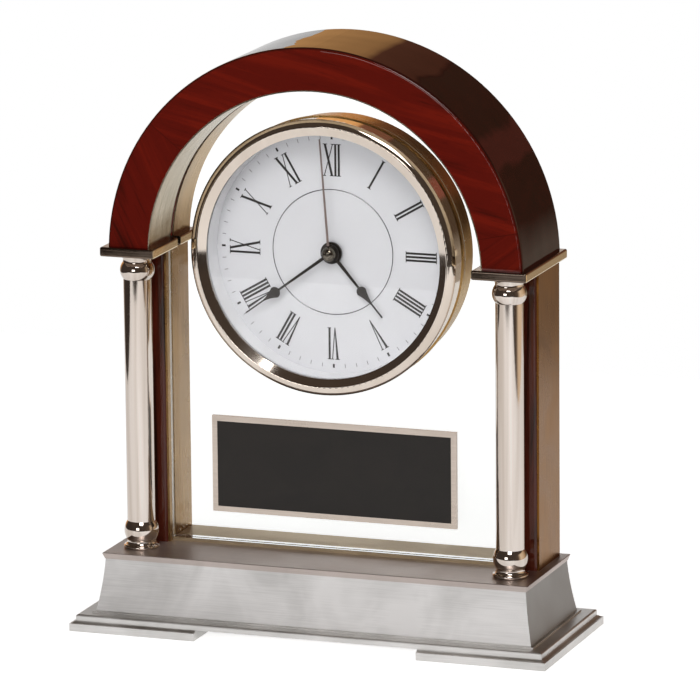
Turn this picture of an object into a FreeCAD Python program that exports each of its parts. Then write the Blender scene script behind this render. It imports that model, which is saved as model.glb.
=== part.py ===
import FreeCAD, Part
import math
import os

# Arched two-column mantel clock: a quartz clock head in a glass panel, framed by a wooden arch.
# Millimetres. +Z is up, the front faces -Y, and the origin is on the table under the middle.

V = FreeCAD.Vector
OVERRUN = 1.0
FULL_TURN = 360.0
HALF_TURN = 180.0
MID_CORNER_BEARING = 45.0
ALONG_SHARE = 0.5

# Base: one stack of rectangles, each measured by how far it stands out past the top plate
top_plate_side_margin = 3.2
top_plate_depth = 52.1
top_plate_thickness = 2.4
top_plate_undercut = 0.8
top_plate_edge_break = 0.2

pad_proud = 0.2
pad_thickness = 1.2
pad_radius = 5.0
pad_side_inset = 13.0
pad_depth_inset = 11.0

foot_height = 3.8
foot_length = 50.7
foot_overhang = 10.0
foot_cove_height = 0.8
foot_cove_depth = 1.6

moulding_height = 3.0
moulding_overhang = 8.0
moulding_round = 0.8
moulding_fillet_height = 0.6
moulding_fillet_overhang = 3.2
moulding_band_width = 13.0

body_height = 19.9
body_bottom_overhang = 2.0
body_top_inset = 1.0
body_hollow_sag = 0.35
body_wall = 2.4
body_deck = 2.6
body_boss_radius = 4.0
body_boss_x = 64.0
body_boss_y = 13.0

cover_gap = 0.2

base_screw_radius = 1.6
base_screw_bite = 8.0
base_screw_head_radius = 2.9
base_screw_head_height = 1.8
screw_clearance = 0.2
thread_gap = 0.05

# Columns: a turned base, shaft and capital threaded on a tie rod
column_inset = 0.2
column_y = -12.7
column_height = 114.6
shaft_radius = 5.4
column_base_height = 10.7
column_base_disc_radius = 6.9
column_base_disc_height = 1.5
column_base_cove_radius = 5.5
column_base_cove_height = 1.6
capital_height = 10.0
abacus_radius = 6.7
abacus_height = 0.9
capital_neck_radius = 5.5
capital_neck_height = 2.6
ball_radius = 6.6
tie_rod_radius = 2.0
tie_rod_hole_gap = 0.2
tie_rod_bite = 10.0
tie_rod_below_nut = 1.5
nut_across_flats = 7.0
nut_height = 3.2
washer_radius = 4.5
washer_height = 0.8

# Legs: a wooden post with a thin metal plate on each side
leg_outer_x = 81.8
leg_width = 15.2
leg_front_y = -2.9
leg_depth = 25.9
leg_plate_thickness = 0.8
leg_edge_round = 1.0
leg_screw_radius = 2.0
leg_screw_bite = 16.0
leg_screw_head_radius = 3.8
leg_screw_head_height = 2.2
leg_screw_inset = 7.0

# Ledges between the legs and the arch
ledge_inner_lap = 3.8
ledge_outer_lap = 2.7
ledge_depth = 49.4
ledge_thickness = 3.6
ledge_edge_round = 0.7

# Arch and its metal lining
arch_outer_lap = 0.5
arch_inner_lap = 0.3
arch_front_y = -21.7
arch_depth = 45.0
arch_edge_round = 1.2
arch_spring_drop = 2.7
lining_thickness = 0.5
lining_setback = 0.2
glue_gap = 0.02

# Glass panel and the sill that it stands on
glass_front_y = 0.8
glass_thickness = 5.0
glass_groove = 0.5
glass_side_gap = 0.1
glass_edge_bevel = 0.5
sill_height = 1.2
sill_front_lap = 0.3

# Presentation plate stuck on the glass, with a bare field
plate_width = 98.0
plate_height = 37.4
plate_thickness = 1.5
plate_border = 2.1
plate_field_depth = 0.5
plate_field_gap = 0.05
plate_drop = 0.55
plate_pad_thickness = 0.9
plate_pad_inset = 3.0

# Clock head: every ring is turned about one axis that runs front to back
head_rise = 1.1
bezel_radius = 52.6
bezel_side_radius = 51.9
bezel_sight_radius = 46.4
bezel_crest_radius = 49.7
bezel_crest_round = 0.45
bezel_shoulder_swell = 0.3
bezel_rim_y = -11.6
bezel_sight_y = -11.7
bezel_crest_y = -13.4
bezel_rim_back_y = -10.6
bezel_side_rear_y = -1.6
bezel_sight_lip = 0.6
bezel_bore_radius = 48.6
bezel_skirt_radius = 50.0
bezel_crimp_width = 1.0
bezel_crimp_thickness = 0.6
head_fit_gap = 0.1

crystal_thickness = 1.6
dial_front_y = 0.3
dial_thickness = 0.5
dial_hole_radius = 3.5
carrier_thickness = 2.5
carrier_hole_radius = 4.1
carrier_recess_radius = 6.8
carrier_recess_depth = 1.6

drum_radius = 50.9
drum_wall = 0.8
drum_rear_y = 15.4
drum_flange_radius = 52.3
drum_window_gap = 0.5
drum_window_round = 2.4
gasket_radius = 51.8
gasket_thickness = 0.6
hole_gap = 0.3

# Quartz movement: a plate and a case with the gear train, the motor and one cell
movement_round = 2.0
movement_plate_thickness = 0.8
movement_depth = 16.0
case_wall = 1.0
case_rear_wall = 1.0
bay_height = 15.6
bush_radius = 3.9
bush_bore_radius = 2.85
bush_nut_across_flats = 11.0
bush_nut_height = 1.5
bush_recess_gap = 0.1
pivot_gap = 0.05
pivot_depth = 0.5
pivot_boss_radius = 1.2
pivot_boss_depth = 1.6
arbor_radius = 0.4
running_gap = 0.1
wheel_gap = 0.6

train_module = 0.25
hour_wheel_module = 0.288
wheel_thickness = 0.8
pinion_thickness = 1.0
addendum_share = 0.9
dedendum_share = 1.25
tooth_root_share = 0.3
tooth_tip_share = 0.1

second_pinion_teeth = 8
second_wheel_teeth = 60
third_wheel_teeth = 60
third_pinion_teeth = 8
minute_wheel_teeth = 64
minute_pinion_teeth = 12
motion_wheel_teeth = 36
motion_pinion_teeth = 10
hour_wheel_teeth = 40
intermediate_pinion_teeth = 8
intermediate_wheel_teeth = 32
rotor_pinion_teeth = 8
knob_pinion_teeth = 12

third_bearing = -60.0
motion_bearing = 60.0
motor_bearing = 0.0

hour_tube_radius = 2.45
minute_tube_radius = 1.35
second_arbor_radius = 0.65
motion_post_radius = 0.7

rotor_magnet_radius = 2.4
rotor_magnet_length = 2.0
stator_air_gap = 0.5
stator_thickness = 1.2
stator_half_length = 14.0
stator_half_height = 3.5
stator_leg_width = 4.0
coil_rise = 8.3
coil_radius = 3.4
coil_core_height = 2.0
coil_half_length = 8.5
coil_core_gap = 0.15
coil_flange = 0.8
coil_winding_drop = 0.5

board_width = 10.0
board_height = 34.0
board_thickness = 0.8
board_edge_gap = 0.6
board_standoff = 0.9
chip_radius = 2.2
chip_height = 0.9
oscillator_radius = 1.0
oscillator_length = 6.0

cell_radius = 7.1
cell_half_length = 24.4
cell_nub_radius = 2.7
cell_nub_length = 1.4
cell_floor_gap = 0.3
contact_thickness = 0.4
contact_height = 9.0
contact_gap = 0.1
contact_room = 1.2
spring_base_radius = 4.0
spring_tip_radius = 2.5

knob_radius = 5.0
knob_height = 2.2
knob_standoff = 0.4
knob_stem_radius = 1.0
knob_grip_count = 18
knob_grip_radius = 0.45

# Hands
hand_thickness = 0.35
hour_hand_y = -1.7
minute_hand_y = -3.0
second_hand_y = -4.3
hour_hand_length = 31.0
hour_bulb_at = 18.6
hour_bulb_radius = 2.0
hour_bulb_taper = 6.2
hour_blade_root = 1.5
hour_hub_radius = 4.2
minute_hand_length = 42.0
minute_bulb_at = 27.7
minute_bulb_radius = 2.2
minute_bulb_taper = 5.4
minute_blade_root = 1.3
minute_hub_radius = 3.5
blade_neck = 0.8
blade_tip = 0.55
second_hand_length = 43.8
second_hand_root = 0.9
second_hand_tip = 0.5
second_hub_radius = 2.8
second_hub_dome = 2.0
hand_press_gap = 0.02
tube_end_stand = 0.15

# The time on the dial, as the photograph shows it
last_hour_bearing = 120.0
shown_minute_bearing = 233.88
shown_second_bearing = -4.3
hour_turn_share = 1 / 12

# Levels of the base, from the table up
half_width = leg_outer_x + top_plate_side_margin
half_depth = top_plate_depth / 2
foot_bottom_z = pad_proud
moulding_bottom_z = foot_bottom_z + foot_height
body_bottom_z = moulding_bottom_z + moulding_height
plate_bottom_z = body_bottom_z + body_height
base_top_z = plate_bottom_z + top_plate_thickness
deck_bottom_z = plate_bottom_z - body_deck

# Levels of the frame
ledge_bottom_z = base_top_z + column_height
ledge_top_z = ledge_bottom_z + ledge_thickness
arch_centre_z = ledge_top_z - arch_spring_drop
clock_z = arch_centre_z + head_rise
column_shaft_bottom_z = base_top_z + column_base_height
column_shaft_top_z = ledge_bottom_z - capital_height
leg_inner_x = leg_outer_x - leg_width
leg_rear_y = leg_front_y + leg_depth
column_x = leg_outer_x - leg_width / 2 - column_inset
ledge_inner_x = leg_inner_x - ledge_inner_lap
ledge_outer_x = leg_outer_x + ledge_outer_lap
arch_inner_radius = leg_inner_x - arch_inner_lap
arch_outer_radius = leg_outer_x + arch_outer_lap
arch_rear_y = arch_front_y + arch_depth
glass_rear_y = glass_front_y + glass_thickness
lining_radius = arch_inner_radius - glue_gap - lining_thickness
glass_half_width = leg_inner_x + glass_groove - glass_side_gap
sill_top_z = base_top_z + sill_height

# Planes of the clock head, from front to back
dial_rear_y = dial_front_y + dial_thickness
carrier_rear_y = dial_rear_y + carrier_thickness
movement_front_y = carrier_rear_y
movement_inner_y = movement_front_y + movement_plate_thickness
movement_rear_y = movement_front_y + movement_depth
case_inner_rear_y = movement_rear_y - case_rear_wall
pivot_front_y = movement_inner_y - pivot_depth + running_gap
glass_hole_radius = drum_radius + hole_gap
gasket_front_y = glass_front_y - gasket_thickness

# Bays of the movement, as heights above the clock's axis
movement_half = cell_half_length + cell_nub_length + contact_room + case_wall
bay_floor = case_wall - movement_half
bay_roof = bay_floor + bay_height

# Planes of the gear train, each one wheel further back than the last
hour_wheel_y = movement_inner_y + pivot_depth
motion_wheel_y = hour_wheel_y + pinion_thickness + running_gap
minute_wheel_y = motion_wheel_y + pinion_thickness
third_wheel_y = minute_wheel_y + wheel_thickness + pinion_thickness
second_wheel_y = third_wheel_y + pinion_thickness + wheel_gap
intermediate_wheel_y = second_wheel_y + pinion_thickness + wheel_gap
rotor_y = intermediate_wheel_y + pinion_thickness + wheel_gap

# Modules and centre distances
third_distance = train_module * (second_pinion_teeth + third_wheel_teeth) / 2
minute_wheel_module = 2 * third_distance / (third_pinion_teeth + minute_wheel_teeth)
motion_distance = hour_wheel_module * (motion_pinion_teeth + hour_wheel_teeth) / 2
motion_module = 2 * motion_distance / (minute_pinion_teeth + motion_wheel_teeth)
knob_distance = motion_module * (motion_wheel_teeth + knob_pinion_teeth) / 2
intermediate_distance = train_module * (intermediate_pinion_teeth + second_wheel_teeth) / 2
rotor_distance = train_module * (rotor_pinion_teeth + intermediate_wheel_teeth) / 2


def offset(bearing, distance, start=(0.0, 0.0)):
    """A point (x, height) that lies at a clockwise bearing from straight up."""
    angle = math.radians(bearing)
    return (start[0] + distance * math.sin(angle), start[1] + distance * math.cos(angle))


centre_axis = (0.0, 0.0)
third_axis = offset(third_bearing, third_distance)
motion_axis = offset(motion_bearing, motion_distance)
knob_axis = offset(motion_bearing, motion_distance + knob_distance)
intermediate_axis = offset(motor_bearing, intermediate_distance)
rotor_axis = offset(motor_bearing, intermediate_distance + rotor_distance)


# Shared shapes


def box(low, high):
    """A box from its lowest to its highest corner."""
    return Part.makeBox(high[0] - low[0], high[1] - low[1], high[2] - low[2], V(*low))


def rod(radius, start, end):
    """A round bar between two points."""
    axis = V(*end) - V(*start)
    return Part.makeCylinder(radius, axis.Length, V(*start), axis)


def mirrored(shape):
    """The same piece on the other side of the clock."""
    return shape.mirror(V(0, 0, 0), V(1, 0, 0))


def path(place, start, *steps):
    """Edges from a start point: a step is a point, or a (through, end) pair for an arc."""
    edges = []
    here = start
    for step in steps:
        if isinstance(step[0], tuple):
            through, end = step
            edges.append(Part.Arc(place(*here), place(*through), place(*end)).toShape())
        else:
            end = step
            edges.append(Part.LineSegment(place(*here), place(*end)).toShape())
        here = end
    return edges


def face(place, start, *steps):
    """A closed face whose last step returns to the start by a straight line."""
    edges = path(place, start, *steps, start)
    return Part.Face(Part.Wire(edges))


def mitred(start, *steps):
    """A block whose four sides share one moulded profile of (overhang, height) points."""
    last = steps[-1] if not isinstance(steps[-1][0], tuple) else steps[-1][1]
    reach = foot_overhang + OVERRUN

    def prism(half, cross_half, place, direction):
        right = path(lambda out, z: place(half + out, z), start, *steps)
        left = [edge.mirror(V(0, 0, 0), place(1, 0)) for edge in right]
        floor = path(place, (-half - start[0], start[1]), (half + start[0], start[1]))
        roof = path(place, (-half - last[0], last[1]), (half + last[0], last[1]))
        wire = Part.Wire(Part.__sortEdges__(right + left + floor + roof))
        length = 2 * (cross_half + reach)
        solid = Part.Face(wire).extrude(direction * length)
        return solid.translated(direction * (-length / 2))

    across = prism(half_width, half_depth, lambda u, z: V(u, 0, z), V(0, 1, 0))
    along = prism(half_depth, half_width, lambda u, z: V(0, u, z), V(1, 0, 0))
    return across.common(along).removeSplitter()


def turned(start, *steps):
    """A ring or disc turned about the clock head's axis from a (radius, y) profile."""
    profile = face(lambda r, y: V(r, y, 0), start, *steps)
    return profile.revolve(V(0, 0, 0), V(0, 1, 0), FULL_TURN).translated(V(0, 0, clock_z))


def turned_post(start, *steps):
    """A post turned about a vertical axis from a (radius, z) profile."""
    profile = face(lambda r, z: V(r, 0, z), start, *steps)
    return profile.revolve(V(0, 0, 0), V(0, 0, 1), FULL_TURN)


def head_rod(radius, axis, front_y, rear_y):
    """A round bar along the clock head's depth, at an (x, height) axis."""
    x, height = axis
    return rod(radius, (x, front_y, clock_z + height), (x, rear_y, clock_z + height))


def head_box(low, high):
    """A box in the clock head, with heights counted from its axis."""
    return box((low[0], low[1], clock_z + low[2]), (high[0], high[1], clock_z + high[2]))


def edges_along(shape, direction):
    """The edges of a shape that run along a direction."""
    return [
        edge
        for edge in shape.Edges
        if abs(edge.tangentAt(edge.FirstParameter).dot(direction)) > ALONG_SHARE
    ]


def rounded_slab(half_x, half_z, radius, front_y, rear_y):
    """A flat slab behind the dial with rounded corners."""
    slab = head_box((-half_x, front_y, -half_z), (half_x, rear_y, half_z))
    return slab.makeFillet(radius, edges_along(slab, V(0, 1, 0)))


def hexagon(across_flats, centre, height, direction):
    """A six-sided nut blank."""
    corner_radius = across_flats / math.sqrt(3)
    side = V(1, 0, 0)
    up = direction.cross(side)
    points = []
    for step in range(7):
        across, along = offset(FULL_TURN * step / 6, corner_radius)
        points.append(centre + side * along + up * across)
    return Part.Face(Part.makePolygon(points)).extrude(direction * height)


# Gears


def bearing_between(start, end):
    """The clockwise bearing from one (x, height) axis to another."""
    return math.degrees(math.atan2(end[0] - start[0], end[1] - start[1]))


def gear(teeth, module, axis, front_y, thickness, phase):
    """A toothed disc whose first tooth points at the phase bearing."""
    pitch_radius = module * teeth / 2
    root_radius = pitch_radius - dedendum_share * module
    tip_radius = pitch_radius + addendum_share * module
    pitch = FULL_TURN / teeth
    points = []
    for tooth in range(teeth):
        middle = phase + tooth * pitch
        for radius, share in (
            (root_radius, -tooth_root_share),
            (tip_radius, -tooth_tip_share),
            (tip_radius, tooth_tip_share),
            (root_radius, tooth_root_share),
        ):
            x, height = offset(middle + share * pitch, radius, axis)
            points.append(V(x, front_y, clock_z + height))
    points.append(points[0])
    return Part.Face(Part.makePolygon(points)).extrude(V(0, thickness, 0))


def half_tooth(teeth):
    """The turn that brings a gap, in place of a tooth, to the phase bearing."""
    return HALF_TURN / teeth


# Base


def make_base_top_plate():
    """The flat plate that the columns and legs stand on, undercut along its edge."""
    plate = mitred(
        (-top_plate_undercut, plate_bottom_z),
        (0.0, base_top_z - top_plate_edge_break),
        (-top_plate_edge_break, base_top_z),
    )
    return plate.cut(base_holes(plate_bottom_z, base_top_z))


def make_base_body():
    """The tapered hollow body, its sides slightly hollowed, with four screw bosses."""
    middle_overhang = (body_bottom_overhang - body_top_inset) / 2 - body_hollow_sag
    middle_z = (body_bottom_z + plate_bottom_z) / 2
    body = mitred(
        (body_bottom_overhang, body_bottom_z),
        ((middle_overhang, middle_z), (-body_top_inset, plate_bottom_z)),
    )
    inset = body_top_inset + body_wall
    hollow = box(
        (inset - half_width, inset - half_depth, body_bottom_z - OVERRUN),
        (half_width - inset, half_depth - inset, deck_bottom_z),
    )
    shell = body.cut(hollow)
    for x, y in boss_places():
        boss = rod(body_boss_radius, (x, y, body_bottom_z), (x, y, deck_bottom_z))
        shell = shell.fuse(boss)
        bore_end_z = body_bottom_z + base_screw_bite + OVERRUN
        bore = rod(base_screw_radius + thread_gap, (x, y, body_bottom_z), (x, y, bore_end_z))
        shell = shell.cut(bore)
    return shell.cut(base_holes(deck_bottom_z, plate_bottom_z)).removeSplitter()


def make_base_moulding():
    """The moulded ring that the body stands on."""
    ledge_z = body_bottom_z - moulding_fillet_height
    shoulder_z = ledge_z - moulding_round
    round_centre = (moulding_overhang - moulding_round, shoulder_z)
    round_middle = offset(MID_CORNER_BEARING, moulding_round, round_centre)
    ring = mitred(
        (moulding_overhang, moulding_bottom_z),
        (moulding_overhang, shoulder_z),
        (round_middle, (moulding_overhang - moulding_round, ledge_z)),
        (moulding_fillet_overhang, ledge_z),
        (moulding_fillet_overhang, body_bottom_z),
    )
    return ring.cut(cover_space(0.0))


def cover_space(gap):
    """The opening inside the moulding, made smaller by a gap."""
    half_x = half_width + moulding_overhang - moulding_band_width - gap
    half_y = half_depth + moulding_overhang - moulding_band_width - gap
    return box((-half_x, -half_y, moulding_bottom_z), (half_x, half_y, body_bottom_z))


def make_base_cover():
    """The board that closes the base from below, inside the moulding."""
    cover = cover_space(cover_gap)
    for x, y in boss_places():
        hole_radius = base_screw_radius + screw_clearance
        cover = cover.cut(rod(hole_radius, (x, y, moulding_bottom_z), (x, y, body_bottom_z)))
    return cover


def make_foot():
    """The right foot: a slab under the end of the base with a cove along its upper edge."""
    cove_z = moulding_bottom_z - foot_cove_height
    cove_end = (foot_overhang - foot_cove_depth, moulding_bottom_z)
    through_share = 0.35
    cove_middle = (
        foot_overhang - foot_cove_depth + through_share * foot_cove_depth,
        cove_z + through_share * foot_cove_height,
    )
    slab = mitred(
        (foot_overhang, foot_bottom_z),
        (foot_overhang, cove_z),
        (cove_middle, cove_end),
    )
    outer_x = half_width + foot_overhang
    outer_y = half_depth + foot_overhang
    end = box(
        (outer_x - foot_length, -outer_y - OVERRUN, foot_bottom_z - OVERRUN),
        (outer_x + OVERRUN, outer_y + OVERRUN, moulding_bottom_z + OVERRUN),
    )
    foot = slab.common(end)
    pocket_top_z = foot_bottom_z + pad_thickness - pad_proud
    for x, y in pad_places():
        foot = foot.cut(rod(pad_radius + cover_gap, (x, y, foot_bottom_z), (x, y, pocket_top_z)))
    head_top_z = foot_bottom_z + base_screw_head_height
    for x, y in boss_places():
        if x > 0:
            hole_radius = base_screw_radius + screw_clearance
            sink_radius = base_screw_head_radius + screw_clearance
            foot = foot.cut(rod(hole_radius, (x, y, foot_bottom_z), (x, y, moulding_bottom_z)))
            foot = foot.cut(rod(sink_radius, (x, y, foot_bottom_z), (x, y, head_top_z)))
    return foot


def pad_places():
    """Where the pads sit under the right foot."""
    x_outer = half_width + foot_overhang - pad_side_inset
    y_outer = half_depth + foot_overhang - pad_depth_inset
    return [(x_outer, -y_outer), (x_outer, y_outer)]


def boss_places():
    """The four screws that hold the feet, cover and body together."""
    return [(sx * body_boss_x, sy * body_boss_y) for sx in (-1, 1) for sy in (-1, 1)]


def make_foot_pads():
    """Four round felt pads, let into the feet and standing a little proud of them."""
    pads = [rod(pad_radius, (x, y, 0), (x, y, pad_thickness)) for x, y in pad_places()]
    return Part.makeCompound(pads + [mirrored(pad) for pad in pads])


def make_base_screws():
    """The four screws that come up through the feet and the cover into the body."""
    screws = []
    for x, y in boss_places():
        head_top_z = foot_bottom_z + base_screw_head_height
        tip_z = body_bottom_z + base_screw_bite
        head = rod(base_screw_head_radius, (x, y, foot_bottom_z), (x, y, head_top_z))
        screws.append(head.fuse(rod(base_screw_radius, (x, y, foot_bottom_z), (x, y, tip_z))))
    return Part.makeCompound(screws)


def leg_screw_places():
    """Two screws under each leg."""
    x = leg_outer_x - leg_width / 2
    front_y = leg_front_y + leg_screw_inset
    rear_y = leg_rear_y - leg_screw_inset
    return [(side * x, y) for side in (-1, 1) for y in (front_y, rear_y)]


def base_holes(low_z, high_z):
    """The tie-rod and leg-screw holes through one layer of the base."""
    holes = []
    for side in (-1, 1):
        x = side * column_x
        holes.append(rod(tie_rod_radius + tie_rod_hole_gap, (x, column_y, low_z), (x, column_y, high_z)))
    for x, y in leg_screw_places():
        holes.append(rod(leg_screw_radius + screw_clearance, (x, y, low_z), (x, y, high_z)))
    return Part.makeCompound(holes)


# Columns


def at_column(shape):
    """Moves a piece turned about Z to the right column."""
    return shape.translated(V(column_x, column_y, 0))


def rod_bore(low_z, high_z):
    """The bore of a column piece for its tie rod."""
    return rod(tie_rod_radius + tie_rod_hole_gap, (0, 0, low_z), (0, 0, high_z))


def make_column_base():
    """The turned foot of a column: a disc, a cove and a ball."""
    disc_z = base_top_z + column_base_disc_height
    cove_z = disc_z + column_base_cove_height
    top_z = column_shaft_bottom_z
    ball_z = (cove_z + top_z) / 2
    disc_round = column_base_disc_height / 2
    disc_edge = column_base_disc_radius - disc_round
    cove_share = 0.3
    cove_middle = (
        column_base_cove_radius + cove_share * (disc_edge - column_base_cove_radius),
        disc_z + cove_share * column_base_cove_height,
    )
    post = turned_post(
        (0.0, base_top_z),
        (disc_edge, base_top_z),
        ((column_base_disc_radius, base_top_z + disc_round), (disc_edge, disc_z)),
        (cove_middle, (column_base_cove_radius, cove_z)),
        ((ball_radius, ball_z), (shaft_radius, top_z)),
        (0.0, top_z),
    )
    return at_column(post.cut(rod_bore(base_top_z, top_z)))


def make_column_shaft():
    """The plain round shaft of a column."""
    shaft = rod(shaft_radius, (0, 0, column_shaft_bottom_z), (0, 0, column_shaft_top_z))
    return at_column(shaft.cut(rod_bore(column_shaft_bottom_z, column_shaft_top_z)))


def make_column_capital():
    """The turned head of a column: a ball, a flared neck and a thin disc."""
    abacus_z = ledge_bottom_z - abacus_height
    neck_z = abacus_z - capital_neck_height
    bottom_z = column_shaft_top_z
    ball_z = (bottom_z + neck_z) / 2
    abacus_round = abacus_height / 2
    abacus_edge = abacus_radius - abacus_round
    flare_share = 0.3
    flare_middle = (
        capital_neck_radius + flare_share * (abacus_edge - capital_neck_radius),
        abacus_z - flare_share * capital_neck_height,
    )
    post = turned_post(
        (0.0, bottom_z),
        (shaft_radius, bottom_z),
        ((ball_radius, ball_z), (capital_neck_radius, neck_z)),
        (flare_middle, (abacus_edge, abacus_z)),
        ((abacus_radius, ledge_bottom_z - abacus_round), (abacus_edge, ledge_bottom_z)),
        (0.0, ledge_bottom_z),
    )
    return at_column(post.cut(rod_bore(bottom_z, ledge_bottom_z)))


def make_tie_rods():
    """The threaded rods that clamp the arch, ledges and columns to the base."""
    bottom_z = deck_bottom_z - washer_height - nut_height - tie_rod_below_nut
    top_z = ledge_top_z + tie_rod_bite
    right = rod(tie_rod_radius, (column_x, column_y, bottom_z), (column_x, column_y, top_z))
    return Part.makeCompound([right, mirrored(right)])


def make_tie_rod_nuts():
    """A nut with a washer face on the lower end of each tie rod."""
    washer_z = deck_bottom_z - washer_height
    nut_z = washer_z - nut_height
    washer = rod(washer_radius, (column_x, column_y, washer_z), (column_x, column_y, deck_bottom_z))
    blank = hexagon(nut_across_flats, V(column_x, column_y, nut_z), nut_height, V(0, 0, 1))
    hole = rod(tie_rod_radius + thread_gap, (column_x, column_y, nut_z), (column_x, column_y, deck_bottom_z))
    right = washer.fuse(blank).cut(hole)
    return Part.makeCompound([right, mirrored(right)])


# Legs, ledges and arch


def make_leg_post():
    """The wooden post of the right leg, its front edges rounded."""
    post = box(
        (leg_inner_x + leg_plate_thickness, leg_front_y, base_top_z),
        (leg_outer_x - leg_plate_thickness, leg_rear_y, ledge_bottom_z),
    )
    upright_edges = edges_along(post, V(0, 0, 1))
    front_edges = [edge for edge in upright_edges if edge.CenterOfMass.y < leg_front_y + OVERRUN]
    post = post.makeFillet(leg_edge_round, front_edges)
    for x, y in leg_screw_places():
        if x > 0:
            bore_end_z = base_top_z + leg_screw_bite
            post = post.cut(rod(leg_screw_radius + thread_gap, (x, y, base_top_z), (x, y, bore_end_z)))
    return post


def make_leg_outer_plate():
    """The metal plate on the outer side of the right leg."""
    return box(
        (leg_outer_x - leg_plate_thickness, leg_front_y + leg_edge_round, base_top_z),
        (leg_outer_x, leg_rear_y, ledge_bottom_z),
    )


def make_leg_inner_plate():
    """The metal plate on the inner side of the right leg, grooved for the glass."""
    plate = box(
        (leg_inner_x, leg_front_y + leg_edge_round, base_top_z),
        (leg_inner_x + leg_plate_thickness, leg_rear_y, ledge_bottom_z),
    )
    groove = box(
        (leg_inner_x, glass_front_y - glass_side_gap, base_top_z),
        (leg_inner_x + glass_groove, glass_rear_y + glass_side_gap, ledge_bottom_z),
    )
    return plate.cut(groove)


def make_leg_screws():
    """The screws that hold the legs, up through the deck and the top plate."""
    screws = []
    for x, y in leg_screw_places():
        head_z = deck_bottom_z - leg_screw_head_height
        tip_z = base_top_z + leg_screw_bite
        head = rod(leg_screw_head_radius, (x, y, head_z), (x, y, deck_bottom_z))
        screws.append(head.fuse(rod(leg_screw_radius, (x, y, head_z), (x, y, tip_z))))
    return Part.makeCompound(screws)


def make_ledge():
    """The metal ledge on top of the right column and leg."""
    half = ledge_depth / 2
    ledge = box((ledge_inner_x, -half, ledge_bottom_z), (ledge_outer_x, half, ledge_top_z))
    ledge = ledge.makeFillet(ledge_edge_round, ledge.Edges)
    slot = box(
        (ledge_inner_x - OVERRUN, glass_front_y - glass_side_gap, ledge_bottom_z),
        (glass_half_width + glass_side_gap, glass_rear_y + glass_side_gap, ledge_top_z),
    )
    hole_radius = tie_rod_radius + tie_rod_hole_gap
    hole = rod(hole_radius, (column_x, column_y, ledge_bottom_z), (column_x, column_y, ledge_top_z))
    return ledge.cut(slot).cut(hole)


def half_ring(inner_radius, outer_radius, front_y, rear_y):
    """An arched ring about the arch's axis that stands on the ledges."""
    front, rear = (0, front_y, arch_centre_z), (0, rear_y, arch_centre_z)
    ring = rod(outer_radius, front, rear).cut(rod(inner_radius, front, rear))
    reach = outer_radius + OVERRUN
    upper = box((-reach, front_y - OVERRUN, ledge_top_z), (reach, rear_y + OVERRUN, arch_centre_z + reach))
    return ring.common(upper)


def make_arch():
    """The wooden arch, its outer edges rounded, with a groove for the glass and bores for the tie rods."""
    arch = half_ring(arch_inner_radius, arch_outer_radius, arch_front_y, arch_rear_y)
    rims = [edge for edge in arch.Edges if edge.Curve.TypeId == "Part::GeomCircle"]
    outer_rims = [edge for edge in rims if edge.Curve.Radius > (arch_inner_radius + arch_outer_radius) / 2]
    arch = arch.makeFillet(arch_edge_round, outer_rims)
    bore_end_z = ledge_top_z + tie_rod_bite + OVERRUN
    bore_radius = tie_rod_radius + tie_rod_hole_gap
    bore = rod(bore_radius, (column_x, column_y, ledge_top_z), (column_x, column_y, bore_end_z))
    groove_radius = glass_half_width + glass_side_gap
    groove_front_y = glass_front_y - glass_side_gap
    groove_rear_y = glass_rear_y + glass_side_gap
    groove = half_ring(arch_inner_radius - OVERRUN, groove_radius, groove_front_y, groove_rear_y)
    return arch.cut(groove).cut(bore).cut(mirrored(bore))


def make_arch_lining_front():
    """The metal strip inside the arch, in front of the glass."""
    outer_radius = arch_inner_radius - glue_gap
    rear_y = glass_front_y - glass_side_gap
    return half_ring(lining_radius, outer_radius, arch_front_y + lining_setback, rear_y)


def make_arch_lining_rear():
    """The metal strip inside the arch, behind the glass."""
    outer_radius = arch_inner_radius - glue_gap
    front_y = glass_rear_y + glass_side_gap
    return half_ring(lining_radius, outer_radius, front_y, arch_rear_y - lining_setback)


def make_sill():
    """The metal strip between the legs that the glass stands on."""
    half = leg_inner_x - glass_side_gap
    return box((-half, glass_front_y - sill_front_lap, base_top_z), (half, leg_rear_y, sill_top_z))


def make_glass_panel():
    """The arched glass panel with the round hole for the clock head."""
    half = glass_half_width
    outline = face(
        lambda x, z: V(x, glass_front_y, z),
        (-half, sill_top_z),
        (half, sill_top_z),
        (half, arch_centre_z),
        ((0.0, arch_centre_z + half), (-half, arch_centre_z)),
    )
    panel = outline.extrude(V(0, glass_thickness, 0))
    level_edges = edges_along(panel, V(1, 0, 0))
    foot_edges = [edge for edge in level_edges if edge.CenterOfMass.z < sill_top_z + OVERRUN]
    panel = panel.makeChamfer(glass_edge_bevel, foot_edges)
    return panel.cut(head_rod(glass_hole_radius, centre_axis, glass_front_y, glass_rear_y))


# Presentation plate

plate_middle = (sill_top_z + clock_z - bezel_radius) / 2 - plate_drop
plate_bottom = plate_middle - plate_height / 2
plate_top = plate_middle + plate_height / 2
plate_rear_y = glass_front_y - plate_pad_thickness
plate_front_y = plate_rear_y - plate_thickness


def plate_block(inset, front_y, rear_y):
    """A block of the presentation plate, inset from its outline."""
    half = plate_width / 2 - inset
    return box((-half, front_y, plate_bottom + inset), (half, rear_y, plate_top - inset))


def make_presentation_plate():
    """The metal plate with a raised border."""
    recess = plate_block(plate_border, plate_front_y, plate_front_y + plate_field_depth)
    return plate_block(0.0, plate_front_y, plate_rear_y).cut(recess)


def make_presentation_field():
    """The dark field let into the plate, left bare."""
    inset = plate_border + plate_field_gap
    return plate_block(inset, plate_front_y, plate_front_y + plate_field_depth)


def make_presentation_pad():
    """The adhesive pad between the plate and the glass."""
    return plate_block(plate_pad_inset, plate_rear_y, glass_front_y)


# Clock head


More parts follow.
